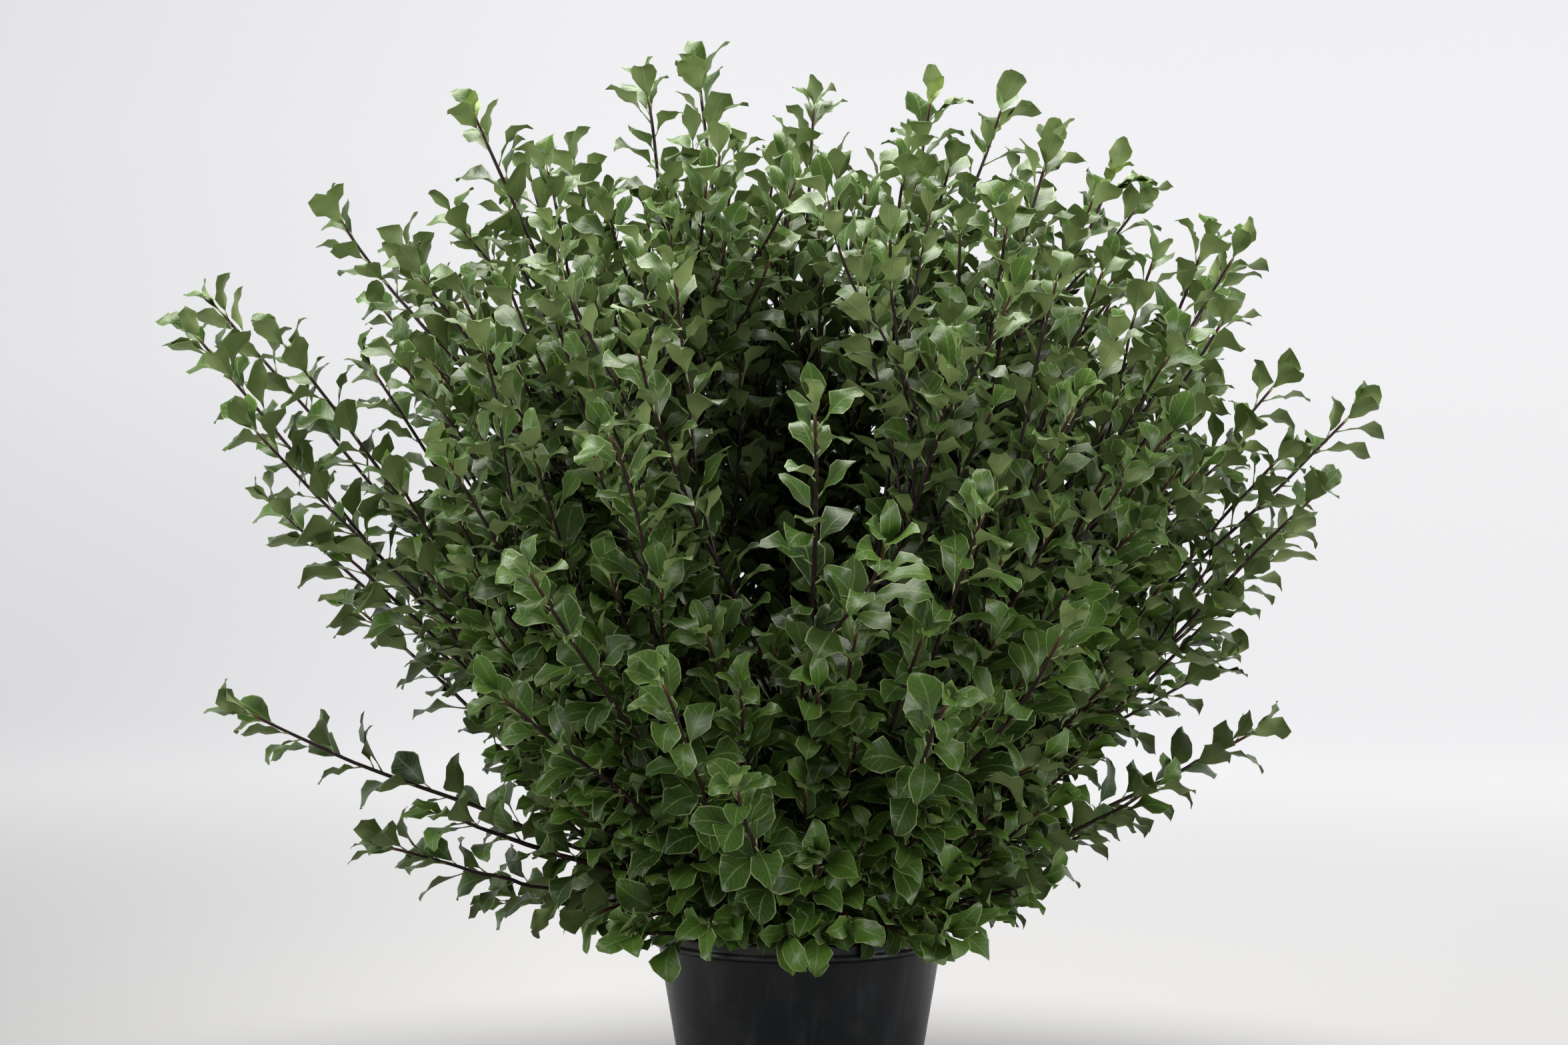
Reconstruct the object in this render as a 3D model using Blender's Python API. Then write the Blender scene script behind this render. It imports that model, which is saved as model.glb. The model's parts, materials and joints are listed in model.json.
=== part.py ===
"""A bushy pittosporum in a black nursery pot, about 1.15 m across and 1.07 m tall.

Metres, +Z up. The origin is the middle of the pot's foot, and -Y is the side the camera sees.
Each woody stem, with its side shoots and leaves, grew as one piece and is one object. It stands
in its own hole in the potting mix, and the mix fills the pot.
"""

import math
import random

import bpy
import numpy as np
from mathutils import Matrix, Vector
from mathutils.bvhtree import BVHTree

MM = 0.001
SEED = 41

# The pot, a moulded nursery container of about 10 litres
POT_HEIGHT = 230 * MM
POT_FOOT_RADIUS = 98 * MM
POT_NECK_RADIUS = 134 * MM
POT_NECK_HEIGHT = 214 * MM
POT_LIP_RADIUS = 142 * MM
POT_WALL = 2.5 * MM
POT_SIDES = 32
DRAIN_HOLES = 6
DRAIN_RADIUS = 7 * MM
DRAIN_CIRCLE = 60 * MM

# The potting mix
MIX_TOP = 200 * MM
MIX_SLUMP = 5 * MM
SEAT_GAP = 0.3 * MM
HOLE_DEPTH = 34 * MM

# The stems: three-sided, from the mix out to their shoots' ends
STEM_COUNT = 24
STEM_SIDES = 3
CROWN_RADIUS = 58 * MM
BASE_SPACING = 19 * MM
STEM_BASE_RADIUS = 5.0 * MM
SIDE_BASE_RADIUS = 3.0 * MM
SHOOT_END_RADIUS = 1.35 * MM
SHOOT_SPACING = 10 * MM
LEADER_SEGMENTS = 6
SIDE_SEGMENTS = 3
MOST_SIDE_SHOOTS = 4
TERMINAL_LEAF = 38 * MM

# The leaves
LEAF_LENGTH = 52 * MM
LEAF_WIDTH = 27 * MM
LEAF_THICKNESS = 1.6 * MM
PETIOLE = 7 * MM
PETIOLE_RADIUS = 0.55 * MM
LEAF_WAVE = 2.6 * MM
LEAF_FOLD = 0.22
LEAF_RIM = ((0.22, 0.66, 1), (0.54, 1.0, -1), (0.83, 0.66, 1))
LEAF_CLEARANCE = 0.7 * MM
LEADER_LEAFY = 0.60
SIDE_LEAFY = 0.66
LEAF_STEP = 15 * MM
LEAF_STEP_GROWTH = 2.2
LEAF_STEP_MOST = 130 * MM
GOLDEN_TURN = math.radians(137.5)

# Shoot tips round the outline, then on the near side, in millimetres: right, back, up
SEEN_TIPS = (
    (-585, -40, 810), (-585, 70, 840), (-490, -120, 800), (-455, 0, 930), (-410, 150, 910),
    (-315, -60, 1020), (-230, 80, 990), (-145, -90, 1035), (-100, 20, 1070), (15, 110, 1055),
    (125, -60, 1035), (205, 60, 1045), (235, -120, 975), (310, 20, 975), (425, -30, 890),
    (485, 80, 770), (545, 0, 735), (500, -80, 660), (490, 60, 620), (410, -60, 550),
    (435, 90, 495), (465, 30, 425), (355, -70, 385), (325, 60, 330), (245, -90, 295),
    (-540, -60, 450), (-420, -40, 315), (-520, -100, 720), (-535, 60, 650), (-445, -90, 605),
    (-455, 80, 545), (-320, 40, 250), (-345, -160, 365), (-165, -200, 255), (150, -190, 255),
    (10, -420, 730), (-140, -380, 785), (-165, -440, 705), (-230, -430, 595), (-55, -400, 415),
    (125, -420, 485), (155, -400, 645), (70, -470, 615), (135, -330, 775), (-310, -330, 690),
    (240, -320, 735), (15, -290, 340), (-120, -430, 505), (225, -360, 545), (-265, -360, 485),
)
LEAST_REACH = 220 * MM
FILL_TRIES = 170
FILL_APART = 112 * MM
MOST_SHOOTS = 92

BARK = ("bark", (0.035, 0.014, 0.014), 0.45)
PLASTIC = ("black_plastic", (0.012, 0.013, 0.015), 0.38)
MIX = ("potting_mix", (0.045, 0.028, 0.018), 0.95)
FOLIAGE = ("foliage", (0.075, 0.16, 0.045), 0.42)


def clear_scene():
    for obj in list(bpy.data.objects):
        bpy.data.objects.remove(obj)


def material(finish):
    """A plain Principled material, made once for each finish."""
    name, colour, roughness = finish
    made = bpy.data.materials.get(name)
    if made is None:
        made = bpy.data.materials.new(name)
        made.use_nodes = True
        shader = made.node_tree.nodes["Principled BSDF"]
        shader.inputs["Base Color"].default_value = (*colour, 1.0)
        shader.inputs["Roughness"].default_value = roughness
        shader.inputs["Metallic"].default_value = 0.0
    return made


def add_object(name, points, faces, finish, collection=None):
    mesh = bpy.data.meshes.new(name)
    mesh.from_pydata([tuple(p) for p in points], [], faces)
    mesh.materials.append(material(finish))
    obj = bpy.data.objects.new(name, mesh)
    (collection or bpy.context.scene.collection).objects.link(obj)
    return obj


def lathe(name, profile, sides, finish):
    """Turns a profile of (radius, height) rings round Z and caps its first and last rings."""
    points, faces = [], []
    for radius, height in profile:
        for k in range(sides):
            angle = math.tau * k / sides
            points.append(Vector((radius * math.cos(angle), radius * math.sin(angle), height)))
    for ring in range(len(profile) - 1):
        low, high = ring * sides, (ring + 1) * sides
        for k in range(sides):
            after = (k + 1) % sides
            faces.append((low + k, low + after, high + after, high + k))
    faces.append(tuple(range(sides - 1, -1, -1)))
    last = (len(profile) - 1) * sides
    faces.append(tuple(last + k for k in range(sides)))
    return add_object(name, points, faces, finish)


def smooth(obj, angle=math.radians(40)):
    obj.data.shade_smooth()
    obj.data.set_sharp_from_angle(angle=angle)


def apply_boolean(obj, operation, collection):
    """Cuts obj by a collection, or joins it with one, then removes the collection's objects."""
    modifier = obj.modifiers.new(operation.lower(), "BOOLEAN")
    modifier.operation = operation
    modifier.solver = "EXACT"
    modifier.operand_type = "COLLECTION"
    modifier.collection = collection
    bpy.context.view_layer.update()
    graph = bpy.context.evaluated_depsgraph_get()
    made = bpy.data.meshes.new_from_object(obj.evaluated_get(graph))
    obj.modifiers.clear()
    obj.data = made
    for item in list(collection.objects):
        bpy.data.objects.remove(item)
    bpy.data.collections.remove(collection)


def new_collection(name):
    collection = bpy.data.collections.new(name)
    bpy.context.scene.collection.children.link(collection)
    return collection


def bore_radius(height):
    """Radius of the pot's bore at a height."""
    return POT_FOOT_RADIUS - POT_WALL + (POT_NECK_RADIUS - POT_FOOT_RADIUS) * height / POT_NECK_HEIGHT


def make_pot():
    """A tapered pot with a flared lip, and a flat floor with drain holes."""
    profile = (
        (POT_FOOT_RADIUS, 0),
        (POT_NECK_RADIUS, POT_NECK_HEIGHT),
        (POT_LIP_RADIUS, POT_NECK_HEIGHT + 6 * MM),
        (POT_LIP_RADIUS, POT_HEIGHT),
        (POT_LIP_RADIUS - 4 * MM, POT_HEIGHT),
        (bore_radius(POT_NECK_HEIGHT), POT_NECK_HEIGHT),
        (bore_radius(POT_WALL), POT_WALL),
    )
    pot = lathe("pot", profile, POT_SIDES, PLASTIC)
    cutters = new_collection("drain_cutters")
    for k in range(DRAIN_HOLES):
        angle = math.tau * (k + 0.5) / DRAIN_HOLES
        centre = Vector((math.cos(angle), math.sin(angle), 0)) * DRAIN_CIRCLE
        ends = [centre - Vector((0, 0, 10 * MM)), centre + Vector((0, 0, 20 * MM))]
        body = tube(ends, [DRAIN_RADIUS] * 2, sides=6)
        add_object("drain", *body, PLASTIC, cutters)
    apply_boolean(pot, "DIFFERENCE", cutters)
    smooth(pot)
    return pot


def make_mix(feet):
    """The potting mix: it fills the pot, slumps a little to the wall, and has a hole for each stem."""
    low = POT_WALL + SEAT_GAP
    slump = MIX_TOP - MIX_SLUMP
    profile = (
        (bore_radius(low) - SEAT_GAP, low),
        (bore_radius(slump) - SEAT_GAP, slump),
        (CROWN_RADIUS + 30 * MM, MIX_TOP),
    )
    mix = lathe("potting_mix", profile, POT_SIDES, MIX)
    cutters = new_collection("hole_cutters")
    for foot in feet:
        ends = [foot - Vector((0, 0, HOLE_DEPTH)), foot + Vector((0, 0, 20 * MM))]
        body = tube(ends, [STEM_BASE_RADIUS + 2 * SEAT_GAP] * 2)
        add_object("hole", *body, MIX, cutters)
    apply_boolean(mix, "DIFFERENCE", cutters)


def lean_of(tip):
    """How far a tip leans from upright, seen from the middle of the mix."""
    return math.atan2(math.hypot(tip.x, tip.y), tip.z - MIX_TOP)


def dome_reach(lean):
    """How far shoots reach from the middle of the mix: far when upright, little near the rim."""
    return 0.82 * (1 - (lean / math.radians(85)) ** 3)


def leafy_reach(lean):
    """How far the closed mass of leaves reaches: nearly as far as the shoots when upright, then less."""
    return dome_reach(lean) * (1 - 0.46 * max(0.0, min(1.0, (math.degrees(lean) - 34) / 28)))


def all_tips():
    """The seen tips, then tips spread evenly over the rest of the leafy mass and some way inside it."""
    rng = random.Random(SEED)
    tips = [Vector(tip) * MM for tip in SEEN_TIPS]
    middle = Vector((0, 0, MIX_TOP))
    for k in range(FILL_TRIES):
        rise = 0.24 + 0.76 * (k + 0.5) / FILL_TRIES
        lean = math.acos(rise)
        turn = k * GOLDEN_TURN
        way = Vector((math.cos(turn) * math.sin(lean), math.sin(turn) * math.sin(lean), rise))
        tip = middle + way * max(leafy_reach(lean) * rng.uniform(0.74, 1.0), LEAST_REACH)
        if min((tip - other).length for other in tips) > FILL_APART and len(tips) < MOST_SHOOTS:
            tips.append(tip)
    return tips


def spread_bases(leaders):
    """Where each leader leaves the mix: nearer the rim the more it leans, then pushed apart."""
    order = sorted(range(len(leaders)), key=lambda i: lean_of(leaders[i]))
    bases = [None] * len(leaders)
    for rank, i in enumerate(order):
        radius = CROWN_RADIUS * math.sqrt((rank + 0.5) / len(leaders))
        turn = math.atan2(leaders[i].y, leaders[i].x)
        bases[i] = Vector((radius * math.cos(turn), radius * math.sin(turn)))
    for _ in range(200):
        for i, one in enumerate(bases):
            for other in bases[i + 1:]:
                away = one - other
                if away.length < BASE_SPACING:
                    push = away.normalized() * (BASE_SPACING - away.length) / 2
                    one += push
                    other -= push
    return bases


def grow_groups(tips):
    """Picks the leaders, one far tip and then ever the tip farthest from all, and shares out the rest."""
    middle = Vector((0, 0, MIX_TOP))
    ways = [(tip - middle).normalized() for tip in tips]
    groups = {max(range(len(tips)), key=lambda i: (tips[i] - middle).length): []}
    while len(groups) < STEM_COUNT:
        rest = [i for i in range(len(tips)) if i not in groups]
        groups[max(rest, key=lambda i: min(ways[i].angle(ways[j]) for j in groups))] = []
    rest = [i for i in range(len(tips)) if i not in groups]
    rest.sort(key=lambda i: min(ways[i].angle(ways[j]) for j in groups))
    for i in rest:
        free = [j for j in groups if len(groups[j]) < MOST_SIDE_SHOOTS]
        if free:
            groups[min(free, key=lambda j: ways[i].angle(ways[j]))].append(i)
    return [(tips[j], [tips[i] for i in members]) for j, members in groups.items()]


def bezier(controls, steps):
    a, b, c, d = controls
    points = []
    for k in range(steps + 1):
        t = k / steps
        s = 1 - t
        points.append(a * s**3 + b * (3 * s * s * t) + c * (3 * s * t * t) + d * t**3)
    return points


def sampled(controls):
    return np.array([tuple(p) for p in bezier(controls, 90)])


def nearest(one, other):
    """Smallest distance between two sampled routes."""
    return float(np.sqrt(((one[:, None, :] - other[None, :, :]) ** 2).sum(2)).min())


def above_lip(route):
    """How far a route passes above the pot's lip."""
    rho = np.hypot(route[:, 0], route[:, 1])
    crossing = route[(rho > bore_radius(POT_NECK_HEIGHT) - 6 * MM) & (rho < POT_LIP_RADIUS + 6 * MM), 2]
    return float(crossing.min()) - POT_HEIGHT if len(crossing) else 1.0


def leader_controls(base, tip, rng):
    """A stem leaves the mix on a slant, swings out over the lip, and runs nearly straight to its tip."""
    foot = Vector((base.x, base.y, MIX_TOP))
    reach = (tip - foot).length
    outward = (tip - foot).normalized()
    lift = 0.25 + max(0, 0.5 - outward.z) * rng.uniform(0.6, 2.2)
    start = (outward * 0.75 + Vector((0, 0, lift))).normalized()
    end = (outward + Vector((0, 0, rng.uniform(-0.10, 0.22)))).normalized()
    side = Vector((rng.uniform(-1, 1), rng.uniform(-1, 1), 0)) * 0.03 * reach
    stem_end = tip - end * TERMINAL_LEAF
    return (foot, foot + start * reach * 0.33 + side, stem_end - end * reach * 0.33 - side, stem_end)


def side_controls(leader, fork, tip, rng):
    """A side shoot parts from its leader at an acute angle and bends towards its own tip."""
    near = bezier(leader, 40)
    k = int(40 * fork)
    start, along = near[k], (near[k + 1] - near[k - 1]).normalized()
    reach = (tip - start).length
    outward = (tip - start).normalized()
    end = (outward + along * 0.5 + Vector((0, 0, rng.uniform(-0.05, 0.2)))).normalized()
    side = Vector([rng.uniform(-1, 1) for _ in range(3)]) * 0.04 * reach
    stem_end = tip - end * TERMINAL_LEAF
    leaving = (along * 0.45 + outward).normalized()
    return (start, start + leaving * reach * 0.3 + side, stem_end - end * reach * 0.3, stem_end)


def best_of(tries, make, spacing):
    """Draws routes until one keeps the spacing, and returns the clearest one."""
    best = None
    for _ in range(tries):
        gap, found = make()
        if best is None or gap > best[0]:
            best = (gap, found)
        if gap > spacing:
            break
    return best


def grow_skeleton():
    """Every stem as its leader's route and its side shoots' routes, each bent clear of the others."""
    rng = random.Random(SEED + 1)
    groups = grow_groups(all_tips())
    bases = spread_bases([tip for tip, _ in groups])
    taken, stems = [], []

    for (tip, _), base in zip(groups, bases):
        def draw_leader():
            controls = leader_controls(base, tip, rng)
            route = sampled(controls)
            gaps = [nearest(route, other) for other in taken]
            return min(gaps + [above_lip(route)]), (controls, route)

        controls, route = best_of(40, draw_leader, SHOOT_SPACING)[1]
        taken.append(route)
        stems.append({"leader": controls, "route": route, "sides": []})

    for stem, (_, side_tips) in zip(stems, groups):
        for side_tip in side_tips:
            def draw_side():
                fork = rng.uniform(0.12, 0.60)
                controls = side_controls(stem["leader"], fork, side_tip, rng)
                route = sampled(controls)
                gaps = [nearest(route[10:], other) for other in taken if other is not stem["route"]]
                gaps += [nearest(route[22:], stem["route"]), above_lip(route)]
                return min(gaps), (controls, route, fork)

            gap, (controls, route, fork) = best_of(60, draw_side, SHOOT_SPACING)
            if gap > 0.6 * SHOOT_SPACING:
                taken.append(route[3:])
                stem["sides"].append((controls, fork))
    return stems


def frames_along(points, upright=0):
    """A sideways and an upward unit vector at each point of a route, without twist."""
    frames = []
    side = Vector((1, 0, 0))
    for k in range(len(points)):
        along = (points[min(k + 1, len(points) - 1)] - points[max(k - 1, 0)]).normalized()
        if k < upright:
            along = Vector((0, 0, 1))
        side = (side - along * side.dot(along)).normalized()
        frames.append((side.copy(), along.cross(side)))
    return frames


def tube(points, radii, sides=STEM_SIDES, upright=0):
    """A closed tube along a route. Returns its points and faces."""
    made, faces = [], []
    for point, radius, (side, up) in zip(points, radii, frames_along(points, upright)):
        for k in range(sides):
            angle = math.tau * (k + 0.5) / sides
            made.append(point + (side * math.cos(angle) + up * math.sin(angle)) * radius)
    for ring in range(len(points) - 1):
        low, high = ring * sides, (ring + 1) * sides
        for k in range(sides):
            after = (k + 1) % sides
            faces.append((low + k, low + after, high + after, high + k))
    faces.append(tuple(range(sides - 1, -1, -1)))
    last = (len(points) - 1) * sides
    faces.append(tuple(last + k for k in range(sides)))
    return made, faces


def leaf_body(length, width, curl, phase, grow=0.0):
    """A waved blade on a three-sided stalk, in its own frame: +Y runs to the tip, +Z is the glossy side."""
    blade = length - PETIOLE
    half = width / 2 + grow
    thick = LEAF_THICKNESS / 2 + grow
    stalk = PETIOLE_RADIUS + grow

    def spine(share):
        """Height of the blade's middle: it arches back towards the tip."""
        return -curl * blade * share * share

    section = [Vector((-0.87 * stalk, 0, stalk / 2)), Vector((0.87 * stalk, 0, stalk / 2)), Vector((0, 0, -stalk))]
    neck = Vector((0, PETIOLE, 0))
    points = section + [p + neck for p in section]
    for share, breadth, sign in LEAF_RIM:
        lift = half * breadth * LEAF_FOLD + sign * phase * LEAF_WAVE
        points.append(Vector((-half * breadth, PETIOLE + blade * share, spine(share) + lift)))
    points.append(Vector((0, length + grow, spine(1))))
    for share, breadth, sign in reversed(LEAF_RIM):
        lift = half * breadth * LEAF_FOLD - sign * phase * LEAF_WAVE
        points.append(Vector((half * breadth, PETIOLE + blade * share, spine(share) + lift)))
    top = len(points)
    bottom = top + 1
    for side in (1, -1):
        points.append(Vector((0, PETIOLE + blade * 0.5, spine(0.5) + side * thick)))
    faces = [(0, 2, 1), (0, 1, 4, 3), (1, 2, 5, 4), (2, 0, 3, 5)]
    edge = [3] + list(range(6, top)) + [4]
    for one, other in zip(edge, edge[1:]):
        faces.append((top, other, one))
        faces.append((bottom, one, other))
    faces += [(top, 3, 4), (bottom, 5, 3), (bottom, 4, 5)]
    return points, faces


def leaf_places(length, leafy_share):
    """Distances back from a shoot's end at which leaves stand: crowded at the end, then farther apart."""
    places, back, step = [2.5 * MM], 2.5 * MM, LEAF_STEP
    while back + step < length * leafy_share:
        back += step
        places.append(back)
        step = min(step * LEAF_STEP_GROWTH, LEAF_STEP_MOST)
    return places


def place_back(points, back, upright=0):
    """The place at a distance back from a route's end: point, direction, and the tube's frame there."""
    frames = frames_along(points, upright)
    for k in range(len(points) - 1, 0, -1):
        piece = points[k] - points[k - 1]
        if back <= piece.length or k == 1:
            return points[k] - piece.normalized() * back, piece.normalized(), frames[k - 1]
        back -= piece.length


def leaf_matrix(root, along, out, tilt, lighting):
    """Sets a leaf on a shoot: tilted away from it towards out, its glossy side in and up."""
    out = (out - along * out.dot(along)).normalized()
    axis = (along * math.cos(tilt) + out * math.sin(tilt)).normalized()
    glossy = along * math.sin(tilt) - out * math.cos(tilt) + Vector((0, 0, lighting))
    glossy = (glossy - axis * glossy.dot(axis)).normalized()
    turned = Matrix((axis.cross(glossy), axis, glossy)).transposed().to_4x4()
    return Matrix.Translation(root) @ turned


def placed(body, matrix):
    points, faces = body
    return [matrix @ p for p in points], faces


class Room:
    """What already stands where, so that a new leaf can be turned clear of it."""

    def __init__(self):
        self.items = []

    def add(self, points, faces, owner):
        low, high = bounds_of(points)
        self.items.append((BVHTree.FromPolygons(points, faces), low, high, owner))

    def free(self, points, faces, owner):
        low, high = bounds_of(points)
        tree = BVHTree.FromPolygons(points, faces)
        for other, other_low, other_high, other_owner in self.items:
            if other_owner == owner or (low > other_high).any() or (high < other_low).any():
                continue
            if tree.overlap(other):
                return False
        return True


def bounds_of(points):
    array = np.array([tuple(p) for p in points])
    return array.min(0), array.max(0)


def taper(count, start, end):
    return [start + (end - start) * (k / (count - 1)) ** 0.8 for k in range(count)]


def shoots_of(stem):
    """A stem's shoots as (points, radii, count of upright rings), the leader first."""
    leader = bezier(stem["leader"], LEADER_SEGMENTS)
    foot = leader[0]
    root = [foot - Vector((0, 0, HOLE_DEPTH - SEAT_GAP)), foot + Vector((0, 0, 2 * MM))]
    above = leader[1:]
    shoots = [(root + above, [STEM_BASE_RADIUS] + taper(len(above) + 1, STEM_BASE_RADIUS, SHOOT_END_RADIUS), 2)]
    for controls, fork in stem["sides"]:
        points = bezier(controls, SIDE_SEGMENTS)
        leader_radius = STEM_BASE_RADIUS + (SHOOT_END_RADIUS - STEM_BASE_RADIUS) * fork**0.8
        shoots.append((points, taper(len(points), min(leader_radius * 0.8, SIDE_BASE_RADIUS), SHOOT_END_RADIUS), 0))
    return shoots


def leaf_tries(shoot, leafy_share, rng):
    """For each leaf of a shoot: its body, its larger clearance body, and the places to try for it."""
    points, _, upright = shoot
    length = sum((b - a).length for a, b in zip(points, points[1:]))
    face = rng.randrange(STEM_SIDES)
    for index, back in enumerate(leaf_places(length, leafy_share)):
        root, along, (side, up) = place_back(points, back, upright)
        scale = rng.uniform(0.86, 1.10)
        size = (LEAF_LENGTH * scale, LEAF_WIDTH * scale * rng.uniform(0.92, 1.08))
        curl = rng.uniform(0.10, 0.34)
        phase = rng.choice((-1, 1)) * rng.uniform(0.6, 1.0)
        tilt = 0.0 if index == 0 else math.radians(min(30 + 6 * index, 56))
        lighting = 1.2 * (1 - abs(along.z)) + 0.1
        face += 1
        jitter = rng.uniform(-0.25, 0.25)
        matrices = []
        for attempt in range(15):
            nudge = (attempt + 1) // 2 * 0.16 * (-1) ** attempt
            turn = math.tau * (face + attempt // 5) / STEM_SIDES + jitter + nudge
            out = side * math.cos(turn) + up * math.sin(turn)
            matrices.append(leaf_matrix(root, along, out, tilt, lighting))
        yield leaf_body(*size, curl, phase), leaf_body(*size, curl, phase, grow=LEAF_CLEARANCE), matrices


def set_leaves(stems, pot):
    """Sets every stem's leaves clear of the pot, of all shoots and of one another."""
    rng = random.Random(SEED + 2)
    room = Room()
    room.add([v.co for v in pot.data.vertices], [p.vertices for p in pot.data.polygons], owner="pot")
    shoots = [shoots_of(stem) for stem in stems]
    for number, own in enumerate(shoots):
        for part, (points, radii, upright) in enumerate(own):
            wide = [radius + LEAF_CLEARANCE for radius in radii]
            room.add(*tube(points, wide, upright=upright), owner=(number, part))
    leaves = [[] for _ in stems]
    for number, own in enumerate(shoots):
        for part, shoot in enumerate(own):
            for body, wide, matrices in leaf_tries(shoot, LEADER_LEAFY if part == 0 else SIDE_LEAFY, rng):
                for matrix in matrices:
                    if room.free(*placed(wide, matrix), owner=(number, part)):
                        solid = placed(body, matrix)
                        leaves[number].append(solid)
                        room.add(*solid, owner=None)
                        break
    return shoots, leaves


def make_plant(pot):
    """Joins each stem's shoots and leaves into one body. Returns where the stems leave the mix."""
    stems = grow_skeleton()
    shoots, leaves = set_leaves(stems, pot)
    for number, (own, own_leaves) in enumerate(zip(shoots, leaves)):
        bodies = [tube(points, radii, upright=upright) for points, radii, upright in own]
        obj = add_object(f"leafy_stem_{number + 1:02d}", *bodies[0], BARK)
        obj.data.materials.append(material(FOLIAGE))
        repeats = new_collection("repeats")
        for body in bodies[1:]:
            add_object("shoot", *body, BARK, repeats)
        for body in own_leaves:
            add_object("leaf", *body, FOLIAGE, repeats)
        apply_boolean(obj, "UNION", repeats)
    return [stem["leader"][0] for stem in stems]


clear_scene()
make_mix(make_plant(make_pot()))
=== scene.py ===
"""A bushy pittosporum in a black nursery pot: waved leaves on dark whippy shoots, on a pale studio floor."""

import json
import math
import random

import bmesh
import bpy
import numpy as np
from bpy.props import FloatProperty, FloatVectorProperty, IntProperty, PointerProperty
from mathutils import Matrix, Vector, noise

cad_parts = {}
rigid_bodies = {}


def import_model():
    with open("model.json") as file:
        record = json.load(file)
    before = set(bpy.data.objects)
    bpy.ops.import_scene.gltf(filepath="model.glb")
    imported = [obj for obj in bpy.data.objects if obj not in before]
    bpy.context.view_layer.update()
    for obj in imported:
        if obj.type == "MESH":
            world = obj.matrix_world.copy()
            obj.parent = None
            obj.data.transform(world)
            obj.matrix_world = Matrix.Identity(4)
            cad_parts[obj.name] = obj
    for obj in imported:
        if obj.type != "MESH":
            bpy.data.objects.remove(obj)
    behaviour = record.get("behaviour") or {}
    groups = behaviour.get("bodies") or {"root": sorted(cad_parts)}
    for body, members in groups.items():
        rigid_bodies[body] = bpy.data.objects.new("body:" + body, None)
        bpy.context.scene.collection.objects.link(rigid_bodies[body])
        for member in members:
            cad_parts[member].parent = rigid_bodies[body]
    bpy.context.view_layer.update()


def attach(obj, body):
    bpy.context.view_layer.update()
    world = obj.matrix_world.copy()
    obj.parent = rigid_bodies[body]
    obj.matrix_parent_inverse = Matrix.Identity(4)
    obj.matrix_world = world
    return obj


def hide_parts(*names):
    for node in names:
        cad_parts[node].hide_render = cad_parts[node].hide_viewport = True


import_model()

bl_info = {
    "name": "Potted Pittosporum",
    "version": (1, 0, 0),
    "blender": (4, 5, 0),
    "location": "3D View > Sidebar > Pittosporum",
    "description": "Makes a bushy potted pittosporum with waved leaves, its pot and a plain studio",
    "category": "Add Mesh",
}

MM = 0.001
SEED = 41

# Heights and radii of the pot and the mix, as the solids have them
POT_HEIGHT = 230 * MM
POT_FOOT_RADIUS = 98 * MM
POT_NECK_RADIUS = 134 * MM
POT_NECK_HEIGHT = 214 * MM
POT_LIP_RADIUS = 142 * MM
POT_WALL = 2.5 * MM
LIP_MARKS = 20
DRAIN_HOLES = 6
DRAIN_RADIUS = 7 * MM
DRAIN_CIRCLE = 60 * MM
MIX_TOP = 200 * MM
MIX_SLUMP = 5 * MM
SEAT_GAP = 0.3 * MM
HOLE_DEPTH = 34 * MM

# How the stems grow, as in the solids
STEM_COUNT = 24
CROWN_RADIUS = 58 * MM
BASE_SPACING = 19 * MM
SHOOT_SPACING = 10 * MM
MOST_SIDE_SHOOTS = 4
TERMINAL_LEAF = 38 * MM
LEADER_LEAFY = 0.60
SIDE_LEAFY = 0.66
LEAF_STEP = 15 * MM
LEAF_STEP_GROWTH = 2.2
LEAF_STEP_MOST = 130 * MM
GOLDEN_TURN = math.radians(137.5)
STEM_SIDES = 3

# Shoot tips round the outline, then on the near side, in millimetres: right, back, up
SEEN_TIPS = (
    (-585, -40, 810), (-585, 70, 840), (-490, -120, 800), (-455, 0, 930), (-410, 150, 910),
    (-315, -60, 1020), (-230, 80, 990), (-145, -90, 1035), (-100, 20, 1070), (15, 110, 1055),
    (125, -60, 1035), (205, 60, 1045), (235, -120, 975), (310, 20, 975), (425, -30, 890),
    (485, 80, 770), (545, 0, 735), (500, -80, 660), (490, 60, 620), (410, -60, 550),
    (435, 90, 495), (465, 30, 425), (355, -70, 385), (325, 60, 330), (245, -90, 295),
    (-540, -60, 450), (-420, -40, 315), (-520, -100, 720), (-535, 60, 650), (-445, -90, 605),
    (-455, 80, 545), (-320, 40, 250), (-345, -160, 365), (-165, -200, 255), (150, -190, 255),
    (10, -420, 730), (-140, -380, 785), (-165, -440, 705), (-230, -430, 595), (-55, -400, 415),
    (125, -420, 485), (155, -400, 645), (70, -470, 615), (135, -330, 775), (-310, -330, 690),
    (240, -320, 735), (15, -290, 340), (-120, -430, 505), (225, -360, 545), (-265, -360, 485),
)
LEAST_REACH = 220 * MM
FILL_TRIES = 170
FILL_APART = 112 * MM
MOST_SHOOTS = 92

# The fine shoots and leaves
LEADER_STEPS = 40
SIDE_STEPS = 26
TWIG_STEPS = 10
STEM_BASE_RADIUS = 3.8 * MM
SIDE_BASE_RADIUS = 2.6 * MM
TWIG_BASE_RADIUS = 2.1 * MM
SHOOT_END_RADIUS = 1.4 * MM
STEM_ROUND = 5
WOBBLE = 3.0 * MM
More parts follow.
